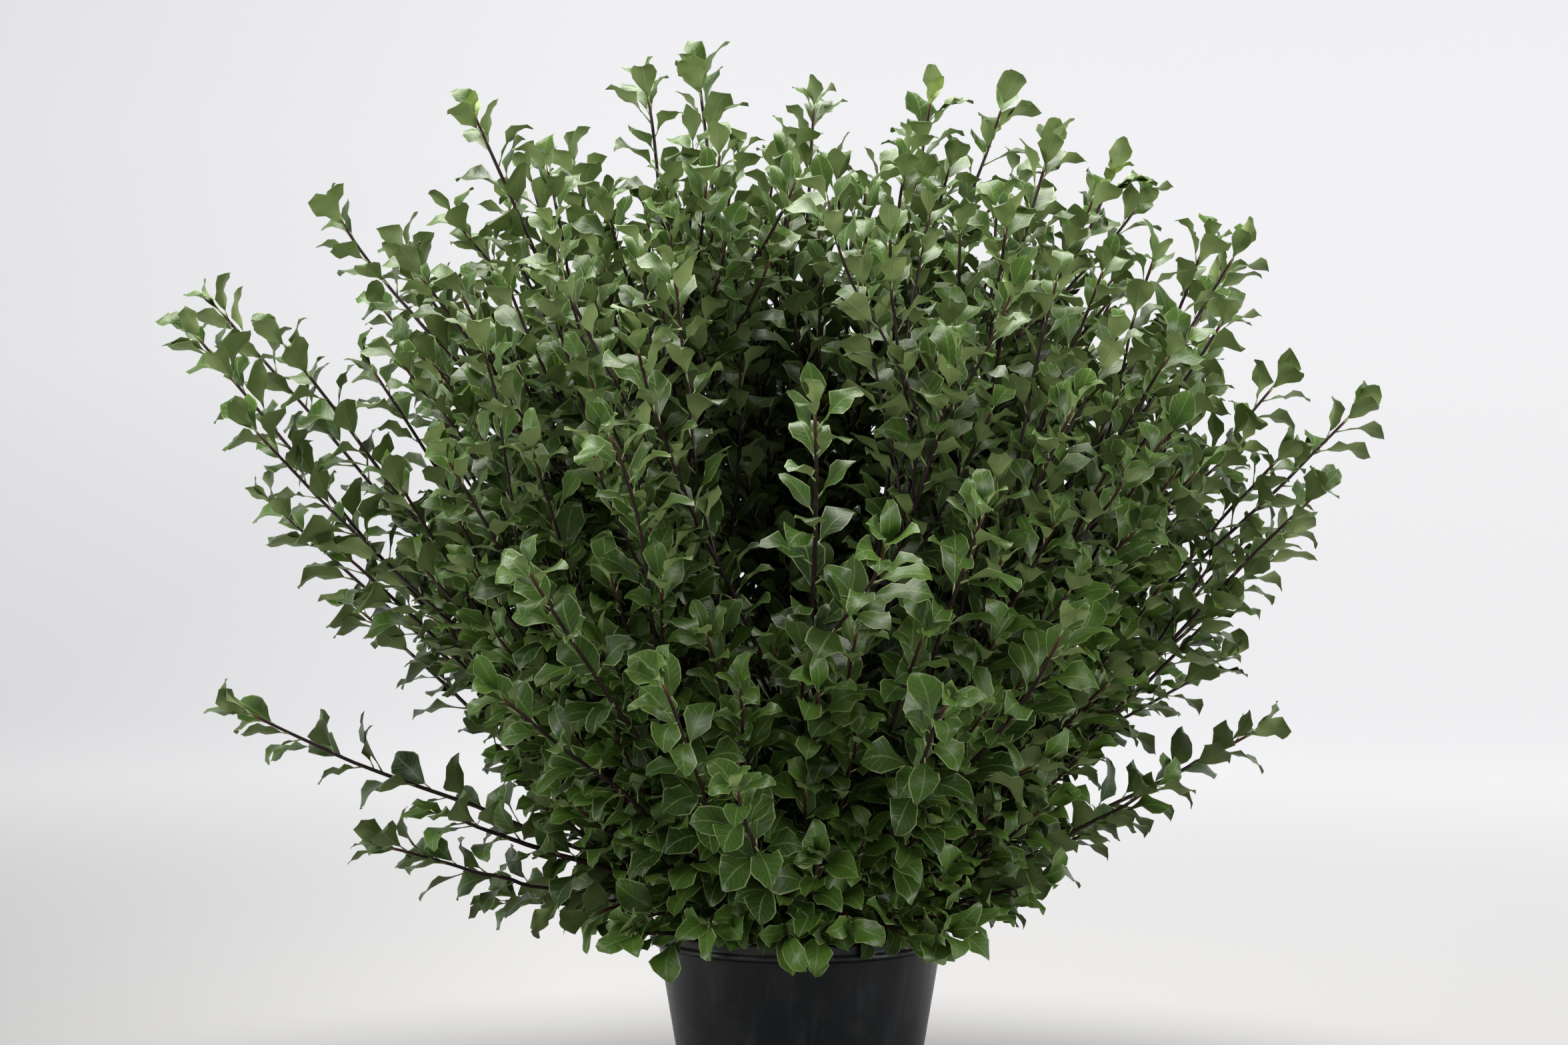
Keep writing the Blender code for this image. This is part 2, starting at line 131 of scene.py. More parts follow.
# Twig tips lie between two shares of the leafy reach, at least so far apart
TWIG_LAYERS = ((0.80, 0.98, 54 * MM), (0.52, 0.80, 62 * MM), (0.36, 0.52, 60 * MM))
TWIG_TRIES = 3000
CURLS = (0.10, 0.20, 0.32)
SHAPE_COUNT = 12
PETIOLE = 10 * MM
FINE_ROWS = (0.0, 0.12, 0.28, 0.45, 0.62, 0.78, 0.91)
FINE_COLUMNS = (-1.0, -0.55, 0.0, 0.55, 1.0)
PLAIN_ROWS = (0.0, 0.16, 0.36, 0.57, 0.76, 0.90)
PLAIN_COLUMNS = (-1.0, 0.0, 1.0)

# Shoots that hang over the pot's lip on the near side, and the tips with new growth
LOW_TIPS = (
    (-15, -205, 232), (105, -190, 226), (-165, -190, 240), (160, -150, 238), (205, -95, 246), (-215, -125, 240),
    (-95, -215, 250), (50, -220, 248), (-60, -190, 262), (-250, -60, 236), (230, 20, 250), (-225, 60, 245),
)
FRESH_TIPS = (5, 10, 13)

# Whips that stand out of the top and the right side, and the dark hollow on the near side
HIGH_TIPS = (
    (-212, 60, 938), (-342, -40, 927), (-270, 20, 979), (-238, -110, 965), (-134, 70, 980), (-52, -90, 979),
    (-26, 60, 992), (33, -60, 972), (60, -150, 940), (145, 40, 967), (230, 90, 976), (282, -60, 942),
    (349, 40, 950), (423, 60, 870), (-180, -160, 930), (-80, -190, 945), (90, 110, 985), (180, -130, 930),
    (-300, 90, 950), (330, -130, 880), (390, -60, 905), (-395, 40, 880), (-20, 140, 1010), (-430, 90, 850),
    (330, -60, 800), (400, 60, 790), (430, -40, 700), (380, -100, 650), (440, 80, 690), (360, 40, 730),
    (480, -20, 700), (400, -60, 600), (420, 120, 760), (350, 120, 660), (455, 30, 620), (-380, -80, 790),
)
LIP_VIEW = 228 * MM
LIP_HANGING = 7
HOLLOW_MIDDLE = (10 * MM, -330 * MM, 720 * MM)
HOLLOW_REACH = (160 * MM, 280 * MM, 165 * MM)


def linear(value):
    """An sRGB hex colour as a linear RGBA tuple."""
    parts = [int(value[i:i + 2], 16) / 255 for i in (1, 3, 5)]
    return tuple(p / 12.92 if p <= 0.04045 else ((p + 0.055) / 1.055) ** 2.4 for p in parts) + (1.0,)


class PotSettings(bpy.types.PropertyGroup):
    """Sizes and finish of the nursery pot."""

    height: FloatProperty(name="Height", description="Ground to the top of the lip", default=POT_HEIGHT,
                          subtype="DISTANCE", unit="LENGTH")
    lip_radius: FloatProperty(name="Lip radius", description="Outer radius of the lip",
                              default=POT_LIP_RADIUS, subtype="DISTANCE", unit="LENGTH")
    neck_radius: FloatProperty(name="Neck radius", description="Outer radius under the lip",
                               default=POT_NECK_RADIUS, subtype="DISTANCE", unit="LENGTH")
    foot_radius: FloatProperty(name="Foot radius", description="Outer radius at the ground",
                               default=POT_FOOT_RADIUS, subtype="DISTANCE", unit="LENGTH")
    colour: FloatVectorProperty(name="Plastic", description="Colour of the moulded plastic", size=4,
                                subtype="COLOR", min=0, max=1, default=linear("#121519"))


class MixSettings(bpy.types.PropertyGroup):
    """The bark-based potting mix."""

    top: FloatProperty(name="Top", description="Height of the mix's surface", default=MIX_TOP,
                       subtype="DISTANCE", unit="LENGTH")
    chip_spacing: FloatProperty(name="Chip spacing", description="Least distance between bark chips",
                                default=8 * MM, subtype="DISTANCE", unit="LENGTH")
    colour: FloatVectorProperty(name="Bark", description="Colour of the damp bark", size=4,
                                subtype="COLOR", min=0, max=1, default=linear("#2c211a"))


class FoliageSettings(bpy.types.PropertyGroup):
    """Leaves and shoots."""

    leaf_length: FloatProperty(name="Leaf length", description="A full leaf with its stalk",
                               default=52 * MM, subtype="DISTANCE", unit="LENGTH")
    leaf_width: FloatProperty(name="Leaf width", description="A full leaf across", default=27 * MM,
                              subtype="DISTANCE", unit="LENGTH")
    leaf_gap: FloatProperty(name="Leaf gap", description="Distance between leaves along a grown shoot",
                            default=17 * MM, subtype="DISTANCE", unit="LENGTH")
    twigs: IntProperty(name="Twigs", description="Most extra twigs inside the bush", default=520, min=0)
    upper: FloatVectorProperty(name="Upper side", description="Glossy side of a grown leaf", size=4,
                               subtype="COLOR", min=0, max=1, default=linear("#55752a"))
    # Partly an old leaf's own darker green, partly painted shade deep inside the bush.
    upper_deep: FloatVectorProperty(name="Upper side, deep", description="Glossy side of an old leaf", size=4,
                                    subtype="COLOR", min=0, max=1, default=linear("#213812"))
    under: FloatVectorProperty(name="Underside", description="Matt side of a leaf", size=4,
                               subtype="COLOR", min=0, max=1, default=linear("#98ac6c"))
    young: FloatVectorProperty(name="New growth", description="Colour of the youngest leaves", size=4,
                               subtype="COLOR", min=0, max=1, default=linear("#a3bb58"))
    bark: FloatVectorProperty(name="Bark", description="Colour of the shoots", size=4,
                              subtype="COLOR", min=0, max=1, default=linear("#241617"))


class StageSettings(bpy.types.PropertyGroup):
    """Floor, light and camera."""

    distance: FloatProperty(name="Camera distance", description="From the pot's axis", default=2.55,
                            subtype="DISTANCE", unit="LENGTH")
    camera_height: FloatProperty(name="Camera height", description="Above the ground", default=0.61,
                                 subtype="DISTANCE", unit="LENGTH")
    floor: FloatVectorProperty(name="Floor", description="Colour of floor and backdrop", size=4,
                               subtype="COLOR", min=0, max=1, default=linear("#b2b2b4"))


def add(tree, kind, inputs=None, **settings):
    """Adds a node with its settings. inputs maps a socket to a value, a node or another node's socket."""
    node = tree.nodes.new(kind)
    for name, value in settings.items():
        setattr(node, name, value)
    for key, value in (inputs or {}).items():
        if isinstance(value, bpy.types.Node):
            value = value.outputs[0]
        if isinstance(value, bpy.types.NodeSocket):
            tree.links.new(value, node.inputs[key])
        else:
            node.inputs[key].default_value = value
    return node


def new_material(name, **shader_values):
    """A node material with its Principled shader set. Returns material, tree and shader."""
    material = bpy.data.materials.new(name)
    material.use_nodes = True
    tree = material.node_tree
    shader = tree.nodes["Principled BSDF"]
    for key, value in shader_values.items():
        shader.inputs[key.replace("_", " ")].default_value = value
    return material, tree, shader


def finish_piece(piece, node):
    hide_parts(node)
    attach(piece, "root")


def new_object(name, mesh):
    obj = bpy.data.objects.new(name, mesh)
    bpy.context.scene.collection.objects.link(obj)
    return obj


def baked(source, name):
    """The evaluated mesh of an object whose modifiers make its shape, as a plain object in its place."""
    graph = bpy.context.evaluated_depsgraph_get()
    mesh = bpy.data.meshes.new_from_object(
        source.evaluated_get(graph), preserve_all_data_layers=True, depsgraph=graph
    )
    mesh.name = name
    old = source.data
    bpy.data.objects.remove(source)
    bpy.data.meshes.remove(old)
    return new_object(name, mesh)


def bore_radius(height):
    """Radius of the pot's bore at a height."""
    return POT_FOOT_RADIUS - POT_WALL + (POT_NECK_RADIUS - POT_FOOT_RADIUS) * height / POT_NECK_HEIGHT


# How the stems grow


def lean_of(tip):
    """How far a tip leans from upright, seen from the middle of the mix."""
    return math.atan2(math.hypot(tip.x, tip.y), tip.z - MIX_TOP)


def dome_reach(lean):
    """How far shoots reach from the middle of the mix: far when upright, little near the rim."""
    return 0.82 * (1 - (lean / math.radians(85)) ** 3)


def leafy_reach(lean):
    """How far the closed mass of leaves reaches: nearly as far as the shoots when upright, then less."""
    return dome_reach(lean) * (1 - 0.46 * max(0.0, min(1.0, (math.degrees(lean) - 34) / 28)))


def all_tips():
    """The seen tips, then tips spread evenly over the rest of the leafy mass and some way inside it."""
    rng = random.Random(SEED)
    tips = [Vector(tip) * MM for tip in SEEN_TIPS]
    middle = Vector((0, 0, MIX_TOP))
    for k in range(FILL_TRIES):
        rise = 0.24 + 0.76 * (k + 0.5) / FILL_TRIES
        lean = math.acos(rise)
        turn = k * GOLDEN_TURN
        way = Vector((math.cos(turn) * math.sin(lean), math.sin(turn) * math.sin(lean), rise))
        tip = middle + way * max(leafy_reach(lean) * rng.uniform(0.74, 1.0), LEAST_REACH)
        if min((tip - other).length for other in tips) > FILL_APART and len(tips) < MOST_SHOOTS:
            tips.append(tip)
    return tips


def spread_bases(leaders):
    """Where each leader leaves the mix: nearer the rim the more it leans, then pushed apart."""
    order = sorted(range(len(leaders)), key=lambda i: lean_of(leaders[i]))
    bases = [None] * len(leaders)
    for rank, i in enumerate(order):
        radius = CROWN_RADIUS * math.sqrt((rank + 0.5) / len(leaders))
        turn = math.atan2(leaders[i].y, leaders[i].x)
        bases[i] = Vector((radius * math.cos(turn), radius * math.sin(turn)))
    for _ in range(200):
        for i, one in enumerate(bases):
            for other in bases[i + 1:]:
                away = one - other
                if away.length < BASE_SPACING:
                    push = away.normalized() * (BASE_SPACING - away.length) / 2
                    one += push
                    other -= push
    return bases


def grow_groups(tips):
    """Picks the leaders, one far tip and then ever the tip farthest from all, and shares out the rest."""
    middle = Vector((0, 0, MIX_TOP))
    ways = [(tip - middle).normalized() for tip in tips]
    groups = {max(range(len(tips)), key=lambda i: (tips[i] - middle).length): []}
    while len(groups) < STEM_COUNT:
        rest = [i for i in range(len(tips)) if i not in groups]
        groups[max(rest, key=lambda i: min(ways[i].angle(ways[j]) for j in groups))] = []
    rest = [i for i in range(len(tips)) if i not in groups]
    rest.sort(key=lambda i: min(ways[i].angle(ways[j]) for j in groups))
    for i in rest:
        free = [j for j in groups if len(groups[j]) < MOST_SIDE_SHOOTS]
        if free:
            groups[min(free, key=lambda j: ways[i].angle(ways[j]))].append(i)
    return [(tips[j], [tips[i] for i in members]) for j, members in groups.items()]


def bezier(controls, steps):
    a, b, c, d = controls
    points = []
    for k in range(steps + 1):
        t = k / steps
        s = 1 - t
        points.append(a * s**3 + b * (3 * s * s * t) + c * (3 * s * t * t) + d * t**3)
    return points


def sampled(controls):
    return np.array([tuple(p) for p in bezier(controls, 90)])


def nearest(one, other):
    """Smallest distance between two sampled routes."""
    return float(np.sqrt(((one[:, None, :] - other[None, :, :]) ** 2).sum(2)).min())


def above_lip(route):
    """How far a route passes above the pot's lip."""
    rho = np.hypot(route[:, 0], route[:, 1])
    crossing = route[(rho > bore_radius(POT_NECK_HEIGHT) - 6 * MM) & (rho < POT_LIP_RADIUS + 6 * MM), 2]
    return float(crossing.min()) - POT_HEIGHT if len(crossing) else 1.0


def leader_controls(base, tip, rng):
    """A stem leaves the mix on a slant, swings out over the lip, and runs nearly straight to its tip."""
    foot = Vector((base.x, base.y, MIX_TOP))
    reach = (tip - foot).length
    outward = (tip - foot).normalized()
    lift = 0.25 + max(0, 0.5 - outward.z) * rng.uniform(0.6, 2.2)
    start = (outward * 0.75 + Vector((0, 0, lift))).normalized()
    end = (outward + Vector((0, 0, rng.uniform(-0.10, 0.22)))).normalized()
    side = Vector((rng.uniform(-1, 1), rng.uniform(-1, 1), 0)) * 0.03 * reach
    stem_end = tip - end * TERMINAL_LEAF
    return (foot, foot + start * reach * 0.33 + side, stem_end - end * reach * 0.33 - side, stem_end)


def side_controls(leader, fork, tip, rng, droop=0.0):
    """A side shoot parts from its leader at an acute angle and bends towards its own tip."""
    near = bezier(leader, 40)
    k = int(40 * fork)
    start, along = near[k], (near[k + 1] - near[k - 1]).normalized()
    reach = (tip - start).length
    outward = (tip - start).normalized()
    end = (outward + along * 0.5 + Vector((0, 0, rng.uniform(-0.05, 0.2) - droop))).normalized()
    side = Vector([rng.uniform(-1, 1) for _ in range(3)]) * 0.04 * reach
    stem_end = tip - end * TERMINAL_LEAF
    leaving = (along * 0.45 + outward).normalized()
    return (start, start + leaving * reach * 0.3 + side, stem_end - end * reach * 0.3, stem_end)


def best_of(tries, make, spacing):
    """Draws routes until one keeps the spacing, and returns the clearest one."""
    best = None
    for _ in range(tries):
        gap, found = make()
        if best is None or gap > best[0]:
            best = (gap, found)
        if gap > spacing:
            break
    return best


def grow_skeleton(tips):
    """Every stem as its leader's route and its side shoots' routes, each bent clear of the others."""
    rng = random.Random(SEED + 1)
    groups = grow_groups(tips)
    bases = spread_bases([tip for tip, _ in groups])
    taken, stems = [], []

    for (tip, _), base in zip(groups, bases):
        def draw_leader():
            controls = leader_controls(base, tip, rng)
            route = sampled(controls)
            gaps = [nearest(route, other) for other in taken]
            return min(gaps + [above_lip(route)]), (controls, route)

        controls, route = best_of(40, draw_leader, SHOOT_SPACING)[1]
        taken.append(route)
        stems.append({"leader": controls, "route": route, "sides": [], "twigs": []})

    for stem, (_, side_tips) in zip(stems, groups):
        for side_tip in side_tips:
            def draw_side():
                fork = rng.uniform(0.12, 0.60)
                controls = side_controls(stem["leader"], fork, side_tip, rng)
                route = sampled(controls)
                gaps = [nearest(route[10:], other) for other in taken if other is not stem["route"]]
                gaps += [nearest(route[22:], stem["route"]), above_lip(route)]
                return min(gaps), (controls, route, fork)

            gap, (controls, route, fork) = best_of(60, draw_side, SHOOT_SPACING)
            if gap > 0.6 * SHOOT_SPACING:
                taken.append(route[3:])
                stem["sides"].append((controls, fork))
    return stems


def in_hollow(point):
    """Whether a point lies in the dark hollow on the near side."""
    return sum(((a - b) / c) ** 2 for a, b, c in zip(point, HOLLOW_MIDDLE, HOLLOW_REACH)) < 1


def twig_tips(tips, most, rng):
    """Tips for extra twigs in the leafy mass, apart from each other and all others."""
    middle = Vector((0, 0, MIX_TOP))
    known = np.array([tuple(tip) for tip in tips])
    found = []
    for inner, outer, apart in TWIG_LAYERS:
        for _ in range(TWIG_TRIES):
            rise = rng.uniform(0.20, 1.0)
            lean, turn = math.acos(rise), rng.uniform(0, math.tau)
            way = Vector((math.cos(turn) * math.sin(lean), math.sin(turn) * math.sin(lean), rise))
            tip = middle + way * max(leafy_reach(lean) * rng.uniform(inner, outer), LEAST_REACH)
            if in_hollow(tip) or len(found) == most:
                continue
            if np.linalg.norm(known - np.array(tip), axis=1).min() > apart:
                known = np.vstack([known, tuple(tip)])
                found.append(tip)
    return found


def grow_twigs(stems, tips, most):
    """Extra twigs, each from the shoot and the place that suit its tip best."""
    rng = random.Random(SEED + 5)
    origins, ways, owners = [], [], []
    for stem in stems:
        for parent in [stem["leader"]] + [controls for controls, _ in stem["sides"]]:
            near = bezier(parent, 40)
            for k in range(4, 33, 2):
                origins.append(tuple(near[k]))
                ways.append(tuple((near[k + 1] - near[k - 1]).normalized()))
                owners.append((stem, parent, k / 40))
    origins, ways = np.array(origins), np.array(ways)
    high = [Vector(tip) * MM for tip in HIGH_TIPS]
    wanted = [(tip, rng.uniform(0.24, 0.44), 0.0) for tip in twig_tips(tips + high, most, rng)]
    wanted += [(Vector(tip) * MM, 0.24, 0.0) for tip in HIGH_TIPS]
    wanted += [(Vector(tip) * MM, 0.15, 0.9) for tip in LOW_TIPS]
    for tip, reach, droop in wanted:
        towards = np.array(tip) - origins
        far = np.linalg.norm(towards, axis=1)
        facing = (towards * ways).sum(1) / far
        stem, parent, fork = owners[int(np.argmin(np.abs(far - reach) / 0.1 + (1 - facing) * 4))]
        for _ in range(24):
            controls = side_controls(parent, fork, tip, rng, droop)
            if above_lip(sampled(controls)) > 3 * MM:
                stem["twigs"].append((controls, fork, droop))
                break


# From routes to fine shoots and leaf places


def wobbled(points, seed):
    """A route with the small bends of real wood, held at both ends."""
    made = []
    for k, point in enumerate(points):
        share = k / (len(points) - 1)
        hold = math.sin(math.pi * share) ** 0.6
        drift = noise.noise_vector(Vector((seed * 7.3, share * 5.0, 1.7)))
        kink = noise.noise_vector(Vector((seed * 3.1, share * 16.0, 9.2)))
        made.append(point + (drift * WOBBLE + kink * WOBBLE * 0.35) * hold)
    return made


def frames_along(points, upright=0):
    """A sideways and an upward unit vector at each point of a route, without twist."""
    frames = []
    side = Vector((1, 0, 0))
    for k in range(len(points)):
        along = (points[min(k + 1, len(points) - 1)] - points[max(k - 1, 0)]).normalized()
        if k < upright:
            along = Vector((0, 0, 1))
        side = (side - along * side.dot(along)).normalized()
        frames.append((side.copy(), along.cross(side)))
    return frames


def length_of(points):
    return sum((b - a).length for a, b in zip(points, points[1:]))


def place_back(points, frames, back):
    """The place at a distance back from a route's end: point, direction and frame."""
    for k in range(len(points) - 1, 0, -1):
        piece = points[k] - points[k - 1]
        if back <= piece.length or k == 1:
            return points[k] - piece.normalized() * back, piece.normalized(), frames[k - 1]
        back -= piece.length


def solid_leaf_places(length, leafy_share):
    """Distances back from a shoot's end at which the solids have their leaves."""
    places, back, step = [2.5 * MM], 2.5 * MM, LEAF_STEP
    while back + step < length * leafy_share:
        back += step
        places.append(back)
        step = min(step * LEAF_STEP_GROWTH, LEAF_STEP_MOST)
    return places


def leaf_turned(along, out, tilt, lighting):
    """A leaf's rotation: tilted away from its shoot towards out, its glossy side in and up."""
    out = (out - along * out.dot(along)).normalized()
    axis = (along * math.cos(tilt) + out * math.sin(tilt)).normalized()
    glossy = along * math.sin(tilt) - out * math.cos(tilt) + Vector((0, 0, lighting))
    glossy = (glossy - axis * glossy.dot(axis)).normalized()
    return Matrix((axis.cross(glossy), axis, glossy)).transposed()


def solid_leaves(points, coarse_length, leafy_share, rng):
    """The leaves that the solids have on a shoot: (root, rotation, length scale, width scale, shape, back)."""
    frames = frames_along(points)
    face = rng.randrange(STEM_SIDES)
    found = []
    for index, back in enumerate(solid_leaf_places(coarse_length, leafy_share)):
        root, along, (side, up) = place_back(points, frames, back)
        scale = rng.uniform(0.86, 1.10)
        width = scale * rng.uniform(0.92, 1.08)
        curl = rng.uniform(0.10, 0.34)
        phase = rng.choice((-1, 1))
        rng.uniform(0.6, 1.0)
        tilt = 0.0 if index == 0 else math.radians(min(30 + 6 * index, 56))
        lighting = 1.2 * (1 - abs(along.z)) + 0.1
        face += 1
        turn = math.tau * face / STEM_SIDES + rng.uniform(-0.25, 0.25)
        out = side * math.cos(turn) + up * math.sin(turn)
        if index == 0:
            scale, width = scale * 0.86, width * 0.78
        shape = shape_index(curl, phase)
        found.append((root, leaf_turned(along, out, tilt, lighting), scale, width, shape, back))
    return found


def shape_index(curl, phase, twin=0):
    nearest_curl = min(range(len(CURLS)), key=lambda i: abs(CURLS[i] - curl))
    return nearest_curl * 4 + (0 if phase > 0 else 2) + twin


def in_pot(point):
    """Whether a point lies in the pot's wall or in the mix."""
    rho = math.hypot(point.x, point.y)
    if point.z > POT_HEIGHT + 1 * MM or rho > POT_LIP_RADIUS + 1 * MM:
        return False
    return point.z < MIX_TOP + 1 * MM or rho > bore_radius(POT_NECK_HEIGHT) - 2 * MM


def clear_of_pot(root, turned, scale, length):
    axis, across = turned.col[1] * scale * length, turned.col[0] * scale * length * 0.22
    spots = (root + axis * 0.5, root + axis, root + axis * 0.6 + across, root + axis * 0.6 - across)
    return not any(in_pot(spot) for spot in spots)


def hides_lip(root, turned, scale, length):
    """Whether a leaf would hang over the pot's lip, other than at the few places where some do."""
    tip = root + turned.col[1] * scale * length
    return tip.z < LIP_VIEW and math.sin(LIP_HANGING * math.atan2(tip.y, tip.x)) < 0.75


def more_leaves(points, solid, leafy_share, gap, rng, length_scale, leaf_length):
    """Leaves between those of the solids, crowded at the shoot's end and spiralling down it."""
    frames = frames_along(points)
    length = length_of(points)
    taken = [leaf[5] for leaf in solid]
    turn = rng.uniform(0, math.tau)
    back = 0.5 * MM
    found = []
    while back < length * leafy_share:
        growth = min(1.0, back / (90 * MM))
        turn += GOLDEN_TURN + rng.uniform(-0.35, 0.35)
        if all(abs(back - other) > min(3.5 * MM, 1 * MM + back / 4) for other in taken):
            root, along, (side, up) = place_back(points, frames, back)
            out = side * math.cos(turn) + up * math.sin(turn)
            tilt = math.radians(14 + 24 * growth**0.6 + rng.uniform(-8, 12))
            lighting = (0.9 * (1 - abs(along.z)) + 0.05) * rng.uniform(0.4, 1.5)
            scale = (0.86 + 0.26 * growth**0.6) * rng.uniform(0.80, 1.16) * length_scale
            shape = shape_index(rng.uniform(0.04, 0.38), rng.choice((-1, 1)), rng.randrange(2))
            turned = leaf_turned(along, out, tilt, lighting)
            if clear_of_pot(root, turned, scale, leaf_length) and not hides_lip(root, turned, scale, leaf_length):
                found.append((root, turned, scale, scale * rng.uniform(0.78, 1.04), shape, back))
        back += (gap * (0.30 + 0.66 * growth**0.5)) * rng.uniform(0.75, 1.3)
    return found


def tapered(points, start, end):
    """Radii along a route: thin at its end, quickly thicker behind it, then slowly up to its start."""
    length = length_of(points)
    radii, walked = [], 0.0
    for k, point in enumerate(points):
        if k:
            walked += (point - points[k - 1]).length
        radii.append(end + (start - end) * max(0.0, 1 - walked / length) ** 0.7)
    return radii


class StemPlan:
    """Collects a stem's routes and leaf places as the points, edges and attributes of one mesh."""

    def __init__(self):
        self.points, self.edges = [], []
        self.rows = []

    def add_route(self, points, radii, age):
        first = len(self.points)
        self.points += points
        self.edges += [(first + k, first + k + 1) for k in range(len(points) - 1)]
        for radius, old in zip(radii, age):
            self.rows.append((False, radius, old, (0, 0, 0), (1, 1, 1), 0))

    def add_leaf(self, leaf, age, fine):
        root, turned, scale, width, shape, _ = leaf
        self.points.append(root)
        shape += 0 if fine else SHAPE_COUNT
        self.rows.append((True, 0.0, age, tuple(turned.to_euler()), (width, scale, scale), shape))

    def mesh(self, name):
        mesh = bpy.data.meshes.new(name)
        mesh.from_pydata([tuple(p) for p in self.points], self.edges, [])
        kinds = (("is_leaf", "BOOLEAN", "value"), ("thickness", "FLOAT", "value"), ("age", "FLOAT", "value"),
                 ("turn", "FLOAT_VECTOR", "vector"), ("size", "FLOAT_VECTOR", "vector"), ("shape", "INT", "value"))
        for column, (key, kind, field) in enumerate(kinds):
            values = np.array([row[column] for row in self.rows]).ravel()
            mesh.attributes.new(key, kind, "POINT").data.foreach_set(field, values)
        return mesh


# The leaf's shape


def leaf_spine(rows, blade, curl, hook, sway):
    """Points and directions along the midrib, bending towards the underside and a little sideways."""
    place, last = Vector((0, PETIOLE, 0)), 0.0
    spine = []
    for share in (*rows, 1.0):
        middle = (share + last) / 2
        bend, turn = -(2 * curl * middle + hook * middle**4), sway * middle**2
        step = blade * (share - last)
        place = place + Vector((math.sin(turn), math.cos(bend) * math.cos(turn), math.sin(bend))) * step
        bend = -(2 * curl * share + hook * share**4)
        spine.append((share, place, Vector((0, -math.sin(bend), math.cos(bend)))))
        last = share
    return spine


def leaf_shape(name, length, width, number, fine):
    """One waved leaf: a thin closed blade on a stalk. +Y runs to the tip and +Z is the glossy side."""
    rng = random.Random(number)
    curl, phase, twin = CURLS[number // 4], 1 if number % 4 < 2 else -1, number % 2
    wave = rng.uniform(2.0, 4.2) * MM
    waves, lag = rng.uniform(1.25, 2.0), rng.uniform(1.8, 3.6)
    fold, twist, sway = rng.uniform(0.12, 0.36), rng.uniform(-0.6, 0.6), rng.uniform(-0.5, 0.5)
    widest, pointing = rng.uniform(1.0, 1.3), rng.uniform(0.82, 1.02)
    rows, columns = (FINE_ROWS, FINE_COLUMNS) if fine else (PLAIN_ROWS, PLAIN_COLUMNS)
    spine = leaf_spine(rows, length - PETIOLE, curl, rng.uniform(0.5, 1.5), sway)
    bm = bmesh.new()
    uv = bm.loops.layers.uv.new("leaf_uv")
    under_flag = bm.faces.layers.bool.new("underside")
    spots = {}
    top_rows, under_rows = [], []
    for share, place, normal in spine[:-1]:
        breadth = max(math.sin(math.pi * share**widest), 0.0) ** pointing
        half = max(width / 2 * breadth, 0.7 * MM)
        turn = Matrix.Rotation(twist * share, 3, "Y")
        top, under = [], []
        for column in columns:
            ripple = math.sin(math.tau * (waves * share - 0.10) + (0.0 if column < 0 else lag)) * wave * phase
            ripple *= abs(column) ** 1.7 * math.sin(math.pi * share) ** 0.5
            lift = abs(column) * half * fold * (1 - 0.6 * share)
            scallop = 1 + 0.09 * math.sin(math.tau * waves * share + (1.0 if column < 0 else 1.0 + lag))
            offset = turn @ Vector((column * half * scallop, 0, 0))
            spot = place + offset + normal * (lift + ripple)
            thick = 0.22 * MM * (1 - column * column)
            if abs(column) == 1.0:
                top.append(bm.verts.new(spot))
                under.append(top[-1])
            else:
                top.append(bm.verts.new(spot + normal * thick))
                under.append(bm.verts.new(spot - normal * (thick + (0.25 * MM if column == 0 else 0.0))))
            spots[top[-1]] = spots[under[-1]] = (0.5 + 0.5 * column, share)
        top_rows.append(top)
        under_rows.append(under)
    tip = bm.verts.new(spine[-1][1])
    spots[tip] = (0.5, 1.0)

    def face(verts, under):
        made = bm.faces.new(verts)
        made.smooth = True
        made[under_flag] = under
        for loop in made.loops:
            loop[uv].uv = spots[loop.vert]

    last = len(columns) - 1
    for rows_made, under in ((top_rows, False), (under_rows, True)):
        for low, high in zip(rows_made, rows_made[1:]):
            for k in range(last):
                face([low[k], low[k + 1], high[k + 1], high[k]], under)
        for k in range(last):
            face([rows_made[-1][k], rows_made[-1][k + 1], tip], under)
    top, under = top_rows[0], under_rows[0]
    face([top[0], under[1], top[1]], True)
    for k in range(1, last - 1):
        face([top[k], under[k], under[k + 1], top[k + 1]], True)
    face([top[last - 1], under[last - 1], top[last]], True)

    rings = []
    for y, radius in ((-0.6 * MM, 1.1 * MM), (PETIOLE + 0.8 * MM, 0.62 * MM)):
        ring = []
        for k in range(3):
            angle = math.tau * k / 3 - math.pi / 2
            ring.append(bm.verts.new((math.cos(angle) * radius, y, math.sin(angle) * radius)))
            spots[ring[-1]] = (0.5, 0.0)
        rings.append(ring)
    low, high = rings
    for k in range(3):
        face([low[k], high[k], high[(k + 1) % 3], low[(k + 1) % 3]], True)
    face(low, True)
    face(high[::-1], True)
    bmesh.ops.recalc_face_normals(bm, faces=bm.faces)
    for edge in bm.edges:
        if len({f[under_flag] for f in edge.link_faces}) > 1:
            edge.smooth = False
    mesh = bpy.data.meshes.new(name)
    bm.to_mesh(mesh)
    bm.free()
    return bpy.data.objects.new(name, mesh)


def leaf_shapes(settings):
    """The leaf shapes in a collection of their own, fine ones and then plain ones for deep in the bush."""
    shapes = bpy.data.collections.new("leaf_shapes")
    for k in range(SHAPE_COUNT * 2):
        shape = leaf_shape(f"leaf_shape_{k:02d}", settings.leaf_length, settings.leaf_width,
                           k % SHAPE_COUNT, k < SHAPE_COUNT)
        shapes.objects.link(shape)
    return shapes


# Materials of the plant


